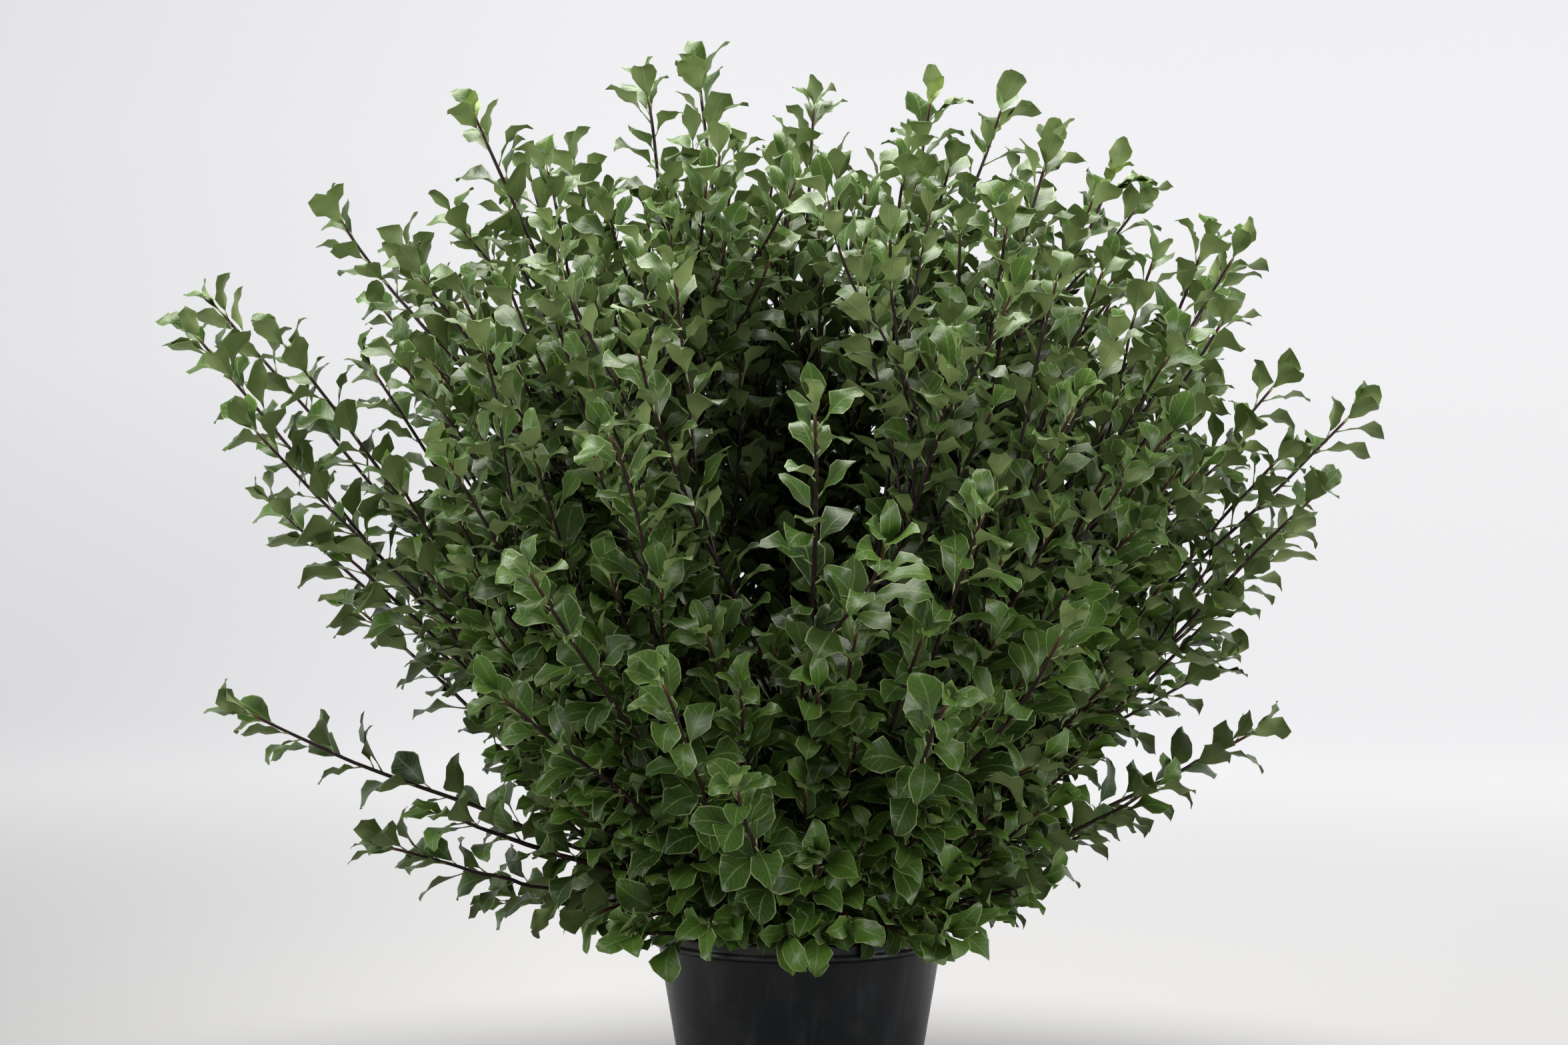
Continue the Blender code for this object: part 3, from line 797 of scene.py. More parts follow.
def leaf_pattern(tree):
    """Where a spot lies on its leaf: distance from the midrib, nearness to rim, midrib and side veins."""
    place = add(tree, "ShaderNodeSeparateXYZ", {0: add(tree, "ShaderNodeUVMap", uv_map="leaf_uv")})
    across = add(tree, "ShaderNodeMath", {0: place.outputs[0], 1: 0.5}, operation="SUBTRACT")
    across = add(tree, "ShaderNodeMath", {0: across}, operation="ABSOLUTE")
    across = add(tree, "ShaderNodeMath", {0: across, 1: 2.0}, operation="MULTIPLY")
    rim = add(tree, "ShaderNodeMapRange", {0: across, 1: 0.88, 2: 0.98}, interpolation_type="SMOOTHSTEP")
    rib = add(tree, "ShaderNodeMapRange", {0: across, 1: 0.09, 2: 0.01}, interpolation_type="SMOOTHSTEP")
    slant = add(tree, "ShaderNodeMath", {0: across, 1: 0.22}, operation="MULTIPLY")
    vein = add(tree, "ShaderNodeMath", {0: place.outputs[1], 1: slant}, operation="SUBTRACT")
    vein = add(tree, "ShaderNodeMath", {0: vein, 1: math.tau * 8}, operation="MULTIPLY")
    vein = add(tree, "ShaderNodeMath", {0: vein}, operation="COSINE")
    vein = add(tree, "ShaderNodeMapRange", {0: vein, 1: 0.80, 2: 1.0}, interpolation_type="SMOOTHSTEP")
    return rim, rib, vein


def mix_colour(tree, factor, one, other, blend="MIX"):
    """Mixes two colours. Sockets 0, 6 and 7 are the factor and the two colours."""
    return add(tree, "ShaderNodeMix", {0: factor, 6: one, 7: other}, data_type="RGBA", blend_type=blend).outputs[2]


def leaf_upper_material(settings):
    """Waxy upper side of an evergreen leaf: deep green with a soft gloss, a pale rim line and midrib."""
    material, tree, shader = new_material("leaf_upper_waxy", Roughness=0.36, IOR=1.42)
    rim, rib, vein = leaf_pattern(tree)
    tint = add(tree, "ShaderNodeAttribute", attribute_name="tint").outputs["Fac"]
    age = add(tree, "ShaderNodeAttribute", attribute_name="age").outputs["Fac"]
    # Older leaves, further back along their shoots and so deeper in the bush, take the deep colour, with a random
    # share by tint: partly their own darker green, partly painted shade of the bush's inside.
    grown = add(tree, "ShaderNodeMapRange", {0: age, 1: 0.34, 2: 1.0, 3: 0.0, 4: 0.65})
    depth = add(tree, "ShaderNodeMath", {0: tint, 1: 0.35, 2: grown.outputs[0]}, operation="MULTIPLY_ADD")
    colour = mix_colour(tree, depth, tuple(settings.upper), tuple(settings.upper_deep))
    cloud = add(tree, "ShaderNodeTexNoise",
                {"Vector": add(tree, "ShaderNodeTexCoord").outputs["Object"], "Scale": 130.0, "Detail": 2.0})
    shade = add(tree, "ShaderNodeMapRange", {0: cloud.outputs[0], 1: 0.3, 2: 0.7, 3: 0.0, 4: 0.35})
    colour = mix_colour(tree, shade.outputs[0], colour, linear("#33501f"))
    faint = add(tree, "ShaderNodeMath", {0: vein, 1: 0.22}, operation="MULTIPLY")
    colour = mix_colour(tree, faint.outputs[0], colour, linear("#6d8450"))
    line = add(tree, "ShaderNodeMath", {0: rib, 1: 0.42}, operation="MULTIPLY")
    colour = mix_colour(tree, line.outputs[0], colour, linear("#8fa265"))
    young = add(tree, "ShaderNodeMapRange", {0: age, 1: 0.30, 2: 0.0, 3: 0.0, 4: 0.9})
    colour = mix_colour(tree, young.outputs[0], colour, tuple(settings.young))
    edge = add(tree, "ShaderNodeMath", {0: rim, 1: 0.68}, operation="MULTIPLY")
    colour = mix_colour(tree, edge.outputs[0], colour, linear("#a3b17a"))
    tree.links.new(colour, shader.inputs["Base Color"])
    height = add(tree, "ShaderNodeMath", {0: vein, 1: rib}, operation="ADD")
    bump = add(tree, "ShaderNodeBump", {"Height": height, "Strength": 0.35, "Distance": 0.3 * MM}, invert=True)
    tree.links.new(bump.outputs[0], shader.inputs["Normal"])
    return material


def leaf_under_material(settings):
    """Matt underside: pale grey-green with a raised pale midrib."""
    material, tree, shader = new_material("leaf_underside_matt", Roughness=0.50, IOR=1.40)
    rim, rib, vein = leaf_pattern(tree)
    tint = add(tree, "ShaderNodeAttribute", attribute_name="tint").outputs["Fac"]
    age = add(tree, "ShaderNodeAttribute", attribute_name="age").outputs["Fac"]
    colour = mix_colour(tree, tint, tuple(settings.under), linear("#82955e"))
    faint = add(tree, "ShaderNodeMath", {0: vein, 1: 0.15}, operation="MULTIPLY")
    colour = mix_colour(tree, faint.outputs[0], colour, linear("#8b996c"))
    line = add(tree, "ShaderNodeMath", {0: rib, 1: 0.7}, operation="MULTIPLY")
    colour = mix_colour(tree, line.outputs[0], colour, linear("#a0ab7c"))
    young = add(tree, "ShaderNodeMapRange", {0: age, 1: 0.30, 2: 0.0, 3: 0.0, 4: 0.8})
    colour = mix_colour(tree, young.outputs[0], colour, tuple(settings.young))
    edge = add(tree, "ShaderNodeMath", {0: rim, 1: 0.6}, operation="MULTIPLY")
    colour = mix_colour(tree, edge.outputs[0], colour, linear("#a2ae78"))
    tree.links.new(colour, shader.inputs["Base Color"])
    uneven = add(tree, "ShaderNodeTexNoise",
                 {"Vector": add(tree, "ShaderNodeTexCoord").outputs["Object"], "Scale": 110.0, "Detail": 2.0})
    height = add(tree, "ShaderNodeMath", {0: uneven.outputs[0], 1: 2.0, 2: rib}, operation="MULTIPLY_ADD")
    bump = add(tree, "ShaderNodeBump", {"Height": height, "Strength": 0.5, "Distance": 0.5 * MM})
    tree.links.new(bump.outputs[0], shader.inputs["Normal"])
    return material


def bark_material(settings):
    """Smooth young bark: glossy purple-black, redder towards the shoot's end and browner at its base."""
    material, tree, shader = new_material("bark_smooth_dark", Roughness=0.40, IOR=1.45)
    age = add(tree, "ShaderNodeAttribute", attribute_name="age").outputs["Fac"]
    place = add(tree, "ShaderNodeTexCoord").outputs["Object"]
    ramp = add(tree, "ShaderNodeValToRGB", {0: age})
    stops = ((0.0, "#6f5536"), (0.015, "#4b2325"), (0.05, "#2b1519"), (0.75, "#231518"), (1.0, "#3b2a22"))
    while len(ramp.color_ramp.elements) < len(stops):
        ramp.color_ramp.elements.new(0.5)
    for element, (position, value) in zip(ramp.color_ramp.elements, stops):
        element.position = position
        element.color = linear(value)
    cloud = add(tree, "ShaderNodeTexNoise", {"Vector": place, "Scale": 260.0, "Detail": 4.0})
    fleck = add(tree, "ShaderNodeMapRange", {0: cloud.outputs[0], 1: 0.55, 2: 0.72, 3: 0.0, 4: 0.5})
    colour = mix_colour(tree, fleck.outputs[0], ramp.outputs[0], linear("#5c4238"))
    tree.links.new(colour, shader.inputs["Base Color"])
    bump = add(tree, "ShaderNodeBump", {"Height": cloud.outputs[0], "Strength": 0.4, "Distance": 0.4 * MM})
    tree.links.new(bump.outputs[0], shader.inputs["Normal"])
    return material


def leafy_stem_tree():
    """Geometry nodes that turn routes into round shoots and set a leaf shape at every leaf place."""
    tree = bpy.data.node_groups.new("Leafy stem", "GeometryNodeTree")
    tree.is_modifier = True
    face = tree.interface
    for name, kind in (("Geometry", "NodeSocketGeometry"), ("Leaf Shapes", "NodeSocketCollection"),
                       ("Stem Sides", "NodeSocketInt"), ("Leaf Size", "NodeSocketFloat"),
                       ("Seed", "NodeSocketInt"), ("Bark", "NodeSocketMaterial"),
                       ("Upper Side", "NodeSocketMaterial"), ("Underside", "NodeSocketMaterial")):
        face.new_socket(name, in_out="INPUT", socket_type=kind)
    face.new_socket("Geometry", in_out="OUTPUT", socket_type="NodeSocketGeometry")
    given = add(tree, "NodeGroupInput").outputs

    def named(key, kind):
        return add(tree, "GeometryNodeInputNamedAttribute", {"Name": key}, data_type=kind)

    parts = add(tree, "GeometryNodeSeparateGeometry",
                {"Geometry": given["Geometry"], "Selection": named("is_leaf", "BOOLEAN")}, domain="POINT")
    routes = add(tree, "GeometryNodeMeshToCurve", {"Mesh": parts.outputs["Inverted"]})
    ring = add(tree, "GeometryNodeCurvePrimitiveCircle", {"Resolution": given["Stem Sides"], "Radius": 1.0})
    shoots = add(tree, "GeometryNodeCurveToMesh", {
        "Curve": routes, "Profile Curve": ring, "Scale": named("thickness", "FLOAT"), "Fill Caps": True,
    })
    shoots = add(tree, "GeometryNodeSetMaterial", {"Geometry": shoots, "Material": given["Bark"]})

    shapes = add(tree, "GeometryNodeCollectionInfo",
                 {"Collection": given["Leaf Shapes"], "Separate Children": True, "Reset Children": True})
    turn = add(tree, "FunctionNodeEulerToRotation", {0: named("turn", "FLOAT_VECTOR")})
    size = add(tree, "ShaderNodeVectorMath", {0: named("size", "FLOAT_VECTOR"), "Scale": given["Leaf Size"]},
               operation="SCALE")
    leaves = add(tree, "GeometryNodeInstanceOnPoints", {
        "Points": parts.outputs["Selection"], "Instance": shapes, "Pick Instance": True,
        "Instance Index": named("shape", "INT"), "Rotation": turn, "Scale": size,
    })
    draw = add(tree, "FunctionNodeRandomValue", {"Seed": given["Seed"]}, data_type="FLOAT")
    leaves = add(tree, "GeometryNodeStoreNamedAttribute",
                 {"Geometry": leaves, "Name": "tint", "Value": draw.outputs[1]},
                 data_type="FLOAT", domain="INSTANCE")
    leaves = add(tree, "GeometryNodeRealizeInstances", {"Geometry": leaves})
    leaves = add(tree, "GeometryNodeSetMaterial", {"Geometry": leaves, "Material": given["Upper Side"]})
    leaves = add(tree, "GeometryNodeSetMaterial", {
        "Geometry": leaves, "Selection": named("underside", "BOOLEAN"), "Material": given["Underside"],
    })
    joined = add(tree, "GeometryNodeJoinGeometry")
    tree.links.new(leaves.outputs[0], joined.inputs[0])
    tree.links.new(shoots.outputs[0], joined.inputs[0])
    add(tree, "NodeGroupOutput", {0: joined})
    return tree


def set_inputs(modifier, **values):
    """Sets a modifier's inputs by their names in its tree, underscores for spaces."""
    for item in modifier.node_group.interface.items_tree:
        if item.item_type == "SOCKET" and item.in_out == "INPUT":
            key = item.name.replace(" ", "_")
            if key in values:
                modifier[item.identifier] = values[key]


def depth_share(point):
    """How far out a point lies between the middle of the mix, 0, and the bush's outside, 1."""
    return (point - Vector((0, 0, MIX_TOP))).length / leafy_reach(min(lean_of(point), math.radians(66)))


def plan_stem(number, stem, rng, settings):
    """All routes and leaf places of one stem."""
    plan = StemPlan()
    extra = random.Random(SEED + 100 + number)

    def radius_at(fork):
        return STEM_BASE_RADIUS + (SHOOT_END_RADIUS - STEM_BASE_RADIUS) * fork

    routes = [("leader", stem["leader"], LEADER_STEPS, STEM_BASE_RADIUS)]
    for controls, fork in stem["sides"]:
        routes.append(("side", controls, SIDE_STEPS, min(radius_at(fork) * 0.85, SIDE_BASE_RADIUS)))
    for controls, fork, droop in stem["twigs"]:
        kind = "low twig" if droop else "twig"
        routes.append((kind, controls, TWIG_STEPS, min(radius_at(fork) * 0.7, TWIG_BASE_RADIUS)))
    fresh_ends = [Vector(SEEN_TIPS[k]) * MM for k in FRESH_TIPS]
    for part, (kind, controls, steps, start) in enumerate(routes):
        coarse = bezier(controls, 6 if kind == "leader" else 3)
        points = wobbled(bezier(controls, steps), number * 31 + part)
        if kind == "leader":
            foot = points[0]
            points = [foot - Vector((0, 0, HOLE_DEPTH - 2 * MM))] + points
            coarse = [foot - Vector((0, 0, HOLE_DEPTH - SEAT_GAP)), foot + Vector((0, 0, 2 * MM))] + coarse[1:]
        coarse = length_of(coarse)
        length = length_of(points)
        ages = [min(1.0, (1 - k / (len(points) - 1)) * length / 0.62) for k in range(len(points))]
        plan.add_route(points, tapered(points, start, SHOOT_END_RADIUS), ages)
        solid = []
        if kind in ("leader", "side"):
            solid = solid_leaves(points, coarse, LEADER_LEAFY if kind == "leader" else SIDE_LEAFY, rng)
        share = {"leader": 0.70, "side": 0.88, "twig": 0.90, "low twig": 0.92}[kind]
        scale = {"leader": 1.0, "side": 1.0, "twig": 0.90, "low twig": 1.12}[kind]
        more = more_leaves(points, solid, share, settings.leaf_gap, extra, scale, settings.leaf_length)
        fresh = any((points[-1] - end).length < TERMINAL_LEAF * 1.5 for end in fresh_ends)
        for leaf in solid + more:
            back = leaf[5]
            age = min(1.0, 0.34 + back / 0.25)
            if fresh and leaf not in solid and back < 22 * MM:
                age = 0.04 + back / (22 * MM) * 0.20
                leaf = (*leaf[:2], leaf[2] * 0.62, leaf[3] * 0.55, *leaf[4:])
            fine = leaf in solid or kind == "low twig" or depth_share(leaf[0]) > 0.81
            plan.add_leaf(leaf, age, fine)
    return plan


class PITTO_OT_leafy_stems(bpy.types.Operator):
    """Make every leafy stem with its shoots and leaves"""

    bl_idname = "pitto.leafy_stems"
    bl_label = "Leafy stems"

    def execute(self, context):
        settings = context.scene.pitto_foliage
        tips = all_tips()
        stems = grow_skeleton(tips)
        grow_twigs(stems, tips, settings.twigs)
        shapes = leaf_shapes(settings)
        tree = leafy_stem_tree()
        finishes = {"Bark": bark_material(settings), "Upper_Side": leaf_upper_material(settings),
                    "Underside": leaf_under_material(settings)}
        rng = random.Random(SEED + 2)
        for number, stem in enumerate(stems):
            node = f"leafy_stem_{number + 1:02d}"
            plan = plan_stem(number, stem, rng, settings)
            source = new_object("plan", plan.mesh("plan"))
            modifier = source.modifiers.new("Leafy stem", "NODES")
            modifier.node_group = tree
            set_inputs(modifier, Leaf_Shapes=shapes, Stem_Sides=STEM_ROUND, Leaf_Size=1.0, Seed=SEED + number,
                       **finishes)
            piece = baked(source, f"shoots_and_leaves_{number + 1:02d}")
            finish_piece(piece, node)
        for shape in list(shapes.objects):
            bpy.data.objects.remove(shape)
        bpy.data.collections.remove(shapes)
        return {"FINISHED"}


# The pot and the mix


def turned_body(name, profile, sides):
    """Turns a closed profile of (radius, height) round Z. Points at radius 0 become poles."""
    bm = bmesh.new()
    rings = []
    for radius, height in profile:
        if radius == 0:
            rings.append([bm.verts.new((0, 0, height))])
            continue
        rings.append([bm.verts.new((radius * math.cos(math.tau * k / sides),
                                    radius * math.sin(math.tau * k / sides), height)) for k in range(sides)])
    for low, high in zip(rings, rings[1:]):
        for k in range(sides):
            after = (k + 1) % sides
            if len(low) == 1:
                bm.faces.new((low[0], high[after], high[k]))
            elif len(high) == 1:
                bm.faces.new((low[k], low[after], high[0]))
            else:
                bm.faces.new((low[k], low[after], high[after], high[k]))
    bmesh.ops.recalc_face_normals(bm, faces=bm.faces)
    mesh = bpy.data.meshes.new(name)
    bm.to_mesh(mesh)
    bm.free()
    mesh.shade_smooth()
    mesh.set_sharp_from_angle(angle=math.radians(50))
    return new_object(name, mesh)


def rounded(corners, steps=4):
    """Rounds a profile's corners. Each corner is (radius, height, rounding)."""
    made = []
    for k, (r, z, rounding) in enumerate(corners):
        here = Vector((r, z))
        if rounding == 0 or k in (0, len(corners) - 1):
            made.append((r, z))
            continue
        before = Vector(corners[k - 1][:2]) - here
        after = Vector(corners[k + 1][:2]) - here
        reach = min(rounding, before.length / 2.1, after.length / 2.1)
        start, end = here + before.normalized() * reach, here + after.normalized() * reach
        for step in range(steps + 1):
            t = step / steps
            point = start * (1 - t) ** 2 + here * 2 * t * (1 - t) + end * t**2
            made.append((point.x, point.y))
    return made


def lip_marks(tree, place):
    """Short upright mould marks round the lip, as a value of 1 on each."""
    spot = add(tree, "ShaderNodeSeparateXYZ", {0: place})
    angle = add(tree, "ShaderNodeMath", {0: spot.outputs[1], 1: spot.outputs[0]}, operation="ARCTAN2")
    angle = add(tree, "ShaderNodeMath", {0: angle, 1: LIP_MARKS / math.tau, 2: 0.82}, operation="MULTIPLY_ADD")
    away = add(tree, "ShaderNodeMath", {0: angle}, operation="FRACT")
    away = add(tree, "ShaderNodeMath", {0: away, 1: 0.5}, operation="SUBTRACT")
    away = add(tree, "ShaderNodeMath", {0: away}, operation="ABSOLUTE")
    mark = add(tree, "ShaderNodeMapRange", {0: away, 1: 0.035, 2: 0.01}, interpolation_type="SMOOTHSTEP")
    on_lip = add(tree, "ShaderNodeMapRange", {0: spot.outputs[2], 1: POT_NECK_HEIGHT, 2: POT_NECK_HEIGHT + 1 * MM})
    return add(tree, "ShaderNodeMath", {0: mark, 1: on_lip}, operation="MULTIPLY").outputs[0]


def pot_material(settings):
    """Moulded polypropylene: satin black with faint scuffs, patches of dust and slight flow unevenness."""
    material, tree, shader = new_material("polypropylene_moulded_black", Roughness=0.40, IOR=1.50)
    place = add(tree, "ShaderNodeTexCoord").outputs["Object"]
    streaks = add(tree, "ShaderNodeMapping", {"Vector": place, "Scale": (1.0, 1.0, 0.12)})
    scuff = add(tree, "ShaderNodeTexNoise", {"Vector": streaks, "Scale": 55.0, "Detail": 6.0, "Roughness": 0.62})
    dust = add(tree, "ShaderNodeTexNoise", {"Vector": place, "Scale": 18.0, "Detail": 8.0, "Roughness": 0.7})
    marks = add(tree, "ShaderNodeMapRange", {0: scuff.outputs[0], 1: 0.52, 2: 0.78, 3: 0.0, 4: 0.10})
    colour = mix_colour(tree, marks.outputs[0], tuple(settings.colour), linear("#6c7074"))
    film = add(tree, "ShaderNodeMapRange", {0: dust.outputs[0], 1: 0.5, 2: 0.75, 3: 0.0, 4: 0.06})
    colour = mix_colour(tree, film.outputs[0], colour, linear("#8a867e"))
    tree.links.new(colour, shader.inputs["Base Color"])
    rough = add(tree, "ShaderNodeMapRange", {0: scuff.outputs[0], 1: 0.3, 2: 0.75, 3: 0.29, 4: 0.46})
    tree.links.new(rough.outputs[0], shader.inputs["Roughness"])
    flow = add(tree, "ShaderNodeTexNoise", {"Vector": place, "Scale": 30.0, "Detail": 1.0})
    height = add(tree, "ShaderNodeMath", {0: lip_marks(tree, place), 1: -2.0, 2: flow.outputs[0]},
                 operation="MULTIPLY_ADD")
    bump = add(tree, "ShaderNodeBump", {"Height": height, "Strength": 0.15, "Distance": 0.6 * MM})
    tree.links.new(bump.outputs[0], shader.inputs["Normal"])
    return material


class PITTO_OT_pot(bpy.types.Operator):
    """Make the nursery pot with its flared lip and drain holes"""

    bl_idname = "pitto.pot"
    bl_label = "Nursery pot"

    def execute(self, context):
        settings = context.scene.pitto_pot
        neck = settings.neck_radius
        lip = settings.lip_radius
        corners = [
            (0, 0, 0), (settings.foot_radius, 0, 2.0 * MM), (neck, POT_NECK_HEIGHT, 1.5 * MM),
            (lip - 0.3 * MM, POT_NECK_HEIGHT + 1.5 * MM, 1.8 * MM), (lip, POT_NECK_HEIGHT + 5 * MM, 2.4 * MM),
            (lip - 1.9 * MM, POT_NECK_HEIGHT + 8 * MM, 1.5 * MM), (lip - 1.4 * MM, settings.height - 3 * MM, 2 * MM),
            (lip - 1.8 * MM, settings.height, 1.2 * MM), (lip - 4 * MM, settings.height, 1.2 * MM),
            (bore_radius(POT_NECK_HEIGHT), POT_NECK_HEIGHT, 2.0 * MM),
            (bore_radius(POT_WALL), POT_WALL, 2.0 * MM), (0, POT_WALL, 0),
        ]
        pot = turned_body("pot_blank", rounded(corners), 144)
        cutters = bmesh.new()
        for k in range(DRAIN_HOLES):
            angle = math.tau * (k + 0.5) / DRAIN_HOLES
            centre = Vector((math.cos(angle), math.sin(angle), 0)) * DRAIN_CIRCLE
            bmesh.ops.create_cone(cutters, cap_ends=True, segments=24, radius1=DRAIN_RADIUS,
                                  radius2=DRAIN_RADIUS, depth=30 * MM, matrix=Matrix.Translation(centre))
        mesh = bpy.data.meshes.new("drain_cutters")
        cutters.to_mesh(mesh)
        cutters.free()
        cutter = new_object("drain_cutters", mesh)
        cut = pot.modifiers.new("Drain holes", "BOOLEAN")
        cut.operation = "DIFFERENCE"
        cut.object = cutter
        piece = baked(pot, "nursery_pot")
        bpy.data.objects.remove(cutter)
        piece.data.materials.clear()
        piece.data.materials.append(pot_material(settings))
        finish_piece(piece, "pot")
        return {"FINISHED"}


def mix_material(settings):
    """Composted bark: dark brown, damp and rough, each chip a little different."""
    material, tree, shader = new_material("composted_bark", Roughness=0.9)
    place = add(tree, "ShaderNodeTexCoord").outputs["Object"]
    patch = add(tree, "ShaderNodeTexNoise", {"Vector": place, "Scale": 120.0, "Detail": 5.0})
    colour = mix_colour(tree, patch.outputs[0], linear("#17110d"), tuple(settings.colour))
    tint = add(tree, "ShaderNodeAttribute", attribute_name="tint").outputs["Fac"]
    colour = mix_colour(tree, tint, colour, linear("#4a382a"))
    tree.links.new(colour, shader.inputs["Base Color"])
    bump = add(tree, "ShaderNodeBump", {"Height": patch.outputs[0], "Strength": 0.8, "Distance": 1.0 * MM})
    tree.links.new(bump.outputs[0], shader.inputs["Normal"])
    return material


def chip_tree():
    """Geometry nodes that strew bark chips over the mix's top."""
    tree = bpy.data.node_groups.new("Bark chips", "GeometryNodeTree")
    tree.is_modifier = True
    face = tree.interface
    for name, kind in (("Geometry", "NodeSocketGeometry"), ("Chip Spacing", "NodeSocketFloat"),
                       ("Chip Size", "NodeSocketFloat"), ("Top", "NodeSocketFloat"), ("Seed", "NodeSocketInt"),
                       ("Bark", "NodeSocketMaterial")):
        face.new_socket(name, in_out="INPUT", socket_type=kind)
    face.new_socket("Geometry", in_out="OUTPUT", socket_type="NodeSocketGeometry")
    given = add(tree, "NodeGroupInput").outputs
    height = add(tree, "ShaderNodeSeparateXYZ", {0: add(tree, "GeometryNodeInputPosition")}).outputs[2]
    on_top = add(tree, "FunctionNodeCompare", {0: height, 1: given["Top"]}, operation="GREATER_THAN")
    spots = add(tree, "GeometryNodeDistributePointsOnFaces", {
        "Mesh": given["Geometry"], "Selection": on_top, "Distance Min": given["Chip Spacing"],
        "Density Max": 90000.0, "Seed": given["Seed"],
    }, distribute_method="POISSON")
    chip = add(tree, "GeometryNodeMeshIcoSphere", {"Radius": 1.0, "Subdivisions": 1})
    turn = add(tree, "FunctionNodeRandomValue",
               {0: (-0.5, -0.5, 0.0), 1: (0.5, 0.5, math.tau), "Seed": given["Seed"]}, data_type="FLOAT_VECTOR")
    size = add(tree, "FunctionNodeRandomValue",
               {0: (0.5, 0.3, 0.15), 1: (1.6, 0.9, 0.45), "Seed": given["Seed"]}, data_type="FLOAT_VECTOR")
    size = add(tree, "ShaderNodeVectorMath", {0: size.outputs[0], "Scale": given["Chip Size"]}, operation="SCALE")
    chips = add(tree, "GeometryNodeInstanceOnPoints",
                {"Points": spots, "Instance": chip, "Rotation": turn.outputs[0], "Scale": size})
    draw = add(tree, "FunctionNodeRandomValue", {"Seed": given["Seed"]}, data_type="FLOAT")
    chips = add(tree, "GeometryNodeStoreNamedAttribute",
                {"Geometry": chips, "Name": "tint", "Value": draw.outputs[1]}, data_type="FLOAT", domain="INSTANCE")
    chips = add(tree, "GeometryNodeRealizeInstances", {"Geometry": chips})
    joined = add(tree, "GeometryNodeJoinGeometry")
    tree.links.new(given["Geometry"], joined.inputs[0])
    tree.links.new(chips.outputs[0], joined.inputs[0])
    finished = add(tree, "GeometryNodeSetMaterial", {"Geometry": joined, "Material": given["Bark"]})
    add(tree, "NodeGroupOutput", {0: finished})
    return tree


class PITTO_OT_potting_mix(bpy.types.Operator):
    """Make the potting mix with bark chips on top"""

    bl_idname = "pitto.potting_mix"
    bl_label = "Potting mix"

    def execute(self, context):
        settings = context.scene.pitto_mix
        low = POT_WALL + SEAT_GAP
        top = settings.top
        wall = bore_radius(top - MIX_SLUMP) - SEAT_GAP
        profile = [(0, low), (bore_radius(low) - SEAT_GAP, low), (wall, top - MIX_SLUMP)]
        for step in range(1, 12):
            share = step / 11
            profile.append((wall * (1 - share * 0.94), top - MIX_SLUMP * (1 - share) ** 2))
        profile.append((0, top))
        mix = turned_body("mix_blank", profile, 72)
        for vert in mix.data.vertices:
            if vert.co.z > top - MIX_SLUMP - 0.5 * MM and math.hypot(vert.co.x, vert.co.y) < wall - 1 * MM:
                vert.co.z += noise.noise(vert.co * 70) * 1.6 * MM
        modifier = mix.modifiers.new("Bark chips", "NODES")
        modifier.node_group = chip_tree()
        set_inputs(modifier, Chip_Spacing=settings.chip_spacing, Chip_Size=6 * MM,
                   Top=top - 0.85 * MIX_SLUMP, Seed=SEED, Bark=mix_material(settings))
        piece = baked(mix, "bark_potting_mix")
        finish_piece(piece, "potting_mix")
        return {"FINISHED"}


# The stage


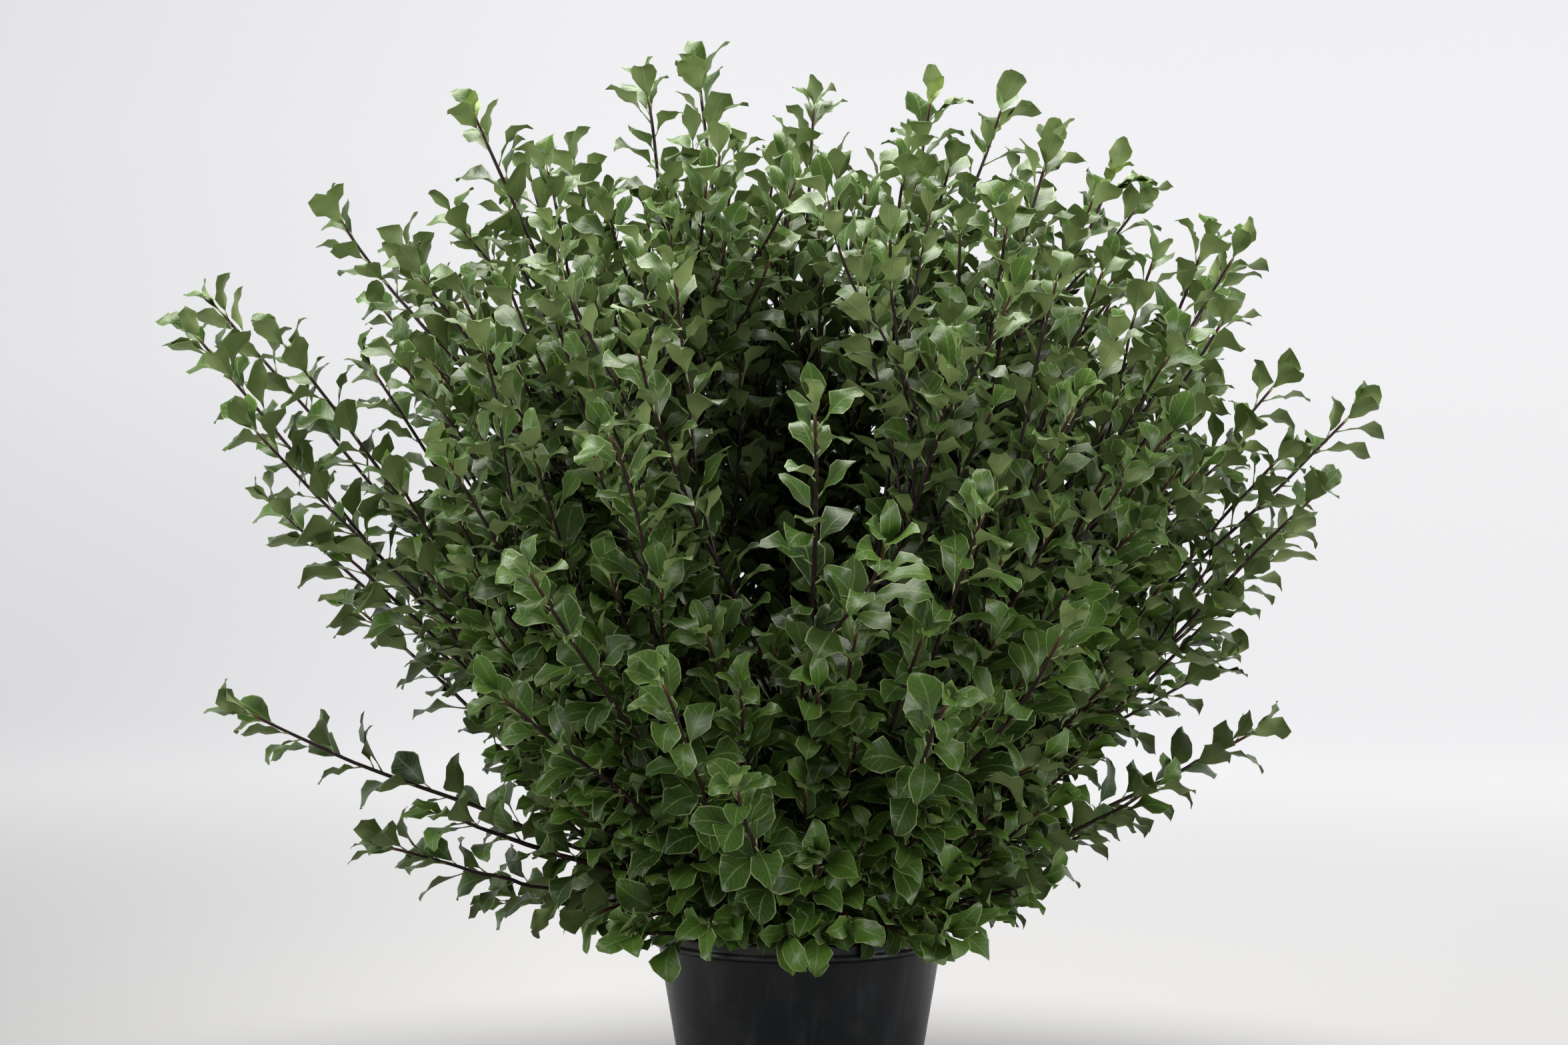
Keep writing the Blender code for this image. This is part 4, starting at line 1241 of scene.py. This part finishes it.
def floor_material(settings):
    """Matt white floor and wall with painted light: a painted shadow close round the plant, painted shade to the
    left, low down and towards the camera, and a painted glow that lights the scene as if from behind the plant.
    """
    material, tree, shader = new_material("painted_studio_floor", Roughness=0.9)
    place = add(tree, "ShaderNodeTexCoord").outputs["Object"]
    far = add(tree, "ShaderNodeVectorMath", {0: place}, operation="LENGTH").outputs["Value"]
    # Painted shadow: grey close round the plant, lighter further out.
    share = add(tree, "ShaderNodeMapRange", {0: far, 1: 0.3, 2: 1.05}, interpolation_type="SMOOTHSTEP").outputs[0]
    spot = add(tree, "ShaderNodeSeparateXYZ", {0: place})
    # Painted shade: darker towards the camera's side.
    back = add(tree, "ShaderNodeMapRange", {0: spot.outputs[1], 1: -3.5, 2: 0.8},
               interpolation_type="SMOOTHSTEP").outputs[0]
    # Painted light: lighter to the right, seen from in front, and higher up the wall.
    ahead = add(tree, "ShaderNodeMath", {0: spot.outputs[1], 1: 4.0}, operation="ADD")
    angle = add(tree, "ShaderNodeMath", {0: spot.outputs[0], 1: ahead}, operation="ARCTAN2")
    right = add(tree, "ShaderNodeMapRange", {0: angle, 1: -0.25, 2: -0.06}).outputs[0]
    high = add(tree, "ShaderNodeMapRange", {0: spot.outputs[2], 1: 0.0, 2: 1.2}).outputs[0]
    lit = add(tree, "ShaderNodeMath", {0: right, 1: high}, operation="MAXIMUM")
    share = add(tree, "ShaderNodeMath", {0: share, 1: back}, operation="MULTIPLY").outputs[0]
    # Painted shade to the left and low down, painted light to the right and higher up.
    painted_light_colour = mix_colour(tree, lit.outputs[0], linear("#909092"), tuple(settings.floor))
    # Painted shadow close round the plant and painted shade towards the camera.
    colour = mix_colour(tree, share, linear("#646362"), painted_light_colour)
    tree.links.new(colour, shader.inputs["Base Color"])
    # Painted light: the floor and wall glow though they are no lamp, brighter to the right and higher up, dimmer
    # towards the camera, and fading out close round the plant.
    wall = add(tree, "ShaderNodeMapRange", {0: far, 1: 0.5, 2: 4.5}, interpolation_type="SMOOTHSTEP").outputs[0]
    low_glow = mix_colour(tree, right, (0.505, 0.508, 0.515, 1.0), (0.56, 0.56, 0.57, 1.0))
    high_glow = mix_colour(tree, right, (0.51, 0.515, 0.525, 1.0), (0.61, 0.61, 0.62, 1.0))
    glow = mix_colour(tree, high, low_glow, high_glow)
    glow = mix_colour(tree, back, (0.18, 0.18, 0.18, 1.0), glow)
    glow = mix_colour(tree, wall, (0.0, 0.0, 0.0, 1.0), glow)
    tree.links.new(glow, shader.inputs["Emission Color"])
    shader.inputs["Emission Strength"].default_value = 1.0
    material.cycles.emission_sampling = "NONE"
    return material


class PITTO_OT_stage(bpy.types.Operator):
    """Make the plain floor and backdrop, the lights and the camera"""

    bl_idname = "pitto.stage"
    bl_label = "Stage"

    def execute(self, context):
        settings = context.scene.pitto_stage
        scene = context.scene
        rise = [(0, 0), (5.5, 0)]
        for step in range(1, 13):
            angle = math.radians(90 * step / 12)
            rise.append((5.5 + 2.0 * math.sin(angle), 2.0 * (1 - math.cos(angle))))
        rise.append((7.5, 6.0))
        stage = turned_body("studio_floor", rise, 96)
        for polygon in stage.data.polygons:
            polygon.use_smooth = True
        stage.data.flip_normals()
        stage.data.materials.append(floor_material(settings))

        world = bpy.data.worlds.new("studio_air")
        world.use_nodes = True
        sky = world.node_tree.nodes["Background"]
        sky.inputs["Color"].default_value = linear("#fbf9f5")
        sky.inputs["Strength"].default_value = 0.16
        scene.world = world

        for name, place, size, power, colour in (
            ("ceiling_softbox", (-0.2, 0.4, 3.1), (2.6, 2.2), 165.0, "#fffdf8"),
            ("left_window", (-3.2, -1.85, 1.3), (1.4, 1.8), 68.0, "#fdfdfb"),
            ("right_window", (3.2, -1.85, 1.2), (1.2, 1.8), 70.0, "#fdfdfb"),
        ):
            data = bpy.data.lights.new(name, "AREA")
            data.shape = "RECTANGLE"
            data.size, data.size_y = size
            data.energy = power
            data.color = linear(colour)[:3]
            lamp = bpy.data.objects.new(name, data)
            scene.collection.objects.link(lamp)
            lamp.location = place
            lamp.rotation_euler = (Vector((0, 0, 0.6)) - lamp.location).to_track_quat("-Z", "Y").to_euler()

        camera_data = bpy.data.cameras.new("camera")
        camera_data.sensor_width = 36.0
        camera_data.lens = 61.8
        camera = bpy.data.objects.new("camera", camera_data)
        scene.collection.objects.link(camera)
        camera.location = (-15 * MM, -settings.distance, settings.camera_height)
        camera.rotation_euler = (math.radians(90), 0, 0)
        scene.camera = camera
        scene.view_settings.view_transform = "Standard"
        return {"FINISHED"}


class PITTO_PT_panel(bpy.types.Panel):
    """Lists what can be made"""

    bl_label = "Potted Pittosporum"
    bl_idname = "PITTO_PT_panel"
    bl_space_type = "VIEW_3D"
    bl_region_type = "UI"
    bl_category = "Pittosporum"

    def draw(self, context):
        layout = self.layout
        for operator in OPERATORS:
            layout.operator(operator.bl_idname)
        for name in SETTINGS:
            box = layout.box()
            group = getattr(context.scene, name)
            for key in group.bl_rna.properties.keys():
                if key not in ("rna_type", "name"):
                    box.prop(group, key)


OPERATORS = (PITTO_OT_stage, PITTO_OT_pot, PITTO_OT_potting_mix, PITTO_OT_leafy_stems)
SETTINGS = {
    "pitto_pot": PotSettings,
    "pitto_mix": MixSettings,
    "pitto_foliage": FoliageSettings,
    "pitto_stage": StageSettings,
}


def register():
    for cls in (*SETTINGS.values(), *OPERATORS, PITTO_PT_panel):
        bpy.utils.register_class(cls)
    for name, cls in SETTINGS.items():
        setattr(bpy.types.Scene, name, PointerProperty(type=cls))


def unregister():
    for name in SETTINGS:
        delattr(bpy.types.Scene, name)
    for cls in reversed((*SETTINGS.values(), *OPERATORS, PITTO_PT_panel)):
        bpy.utils.unregister_class(cls)


def main():
    register()
    bpy.ops.pitto.stage()
    bpy.ops.pitto.pot()
    bpy.ops.pitto.potting_mix()
    bpy.ops.pitto.leafy_stems()


if __name__ == "__main__":
    main()
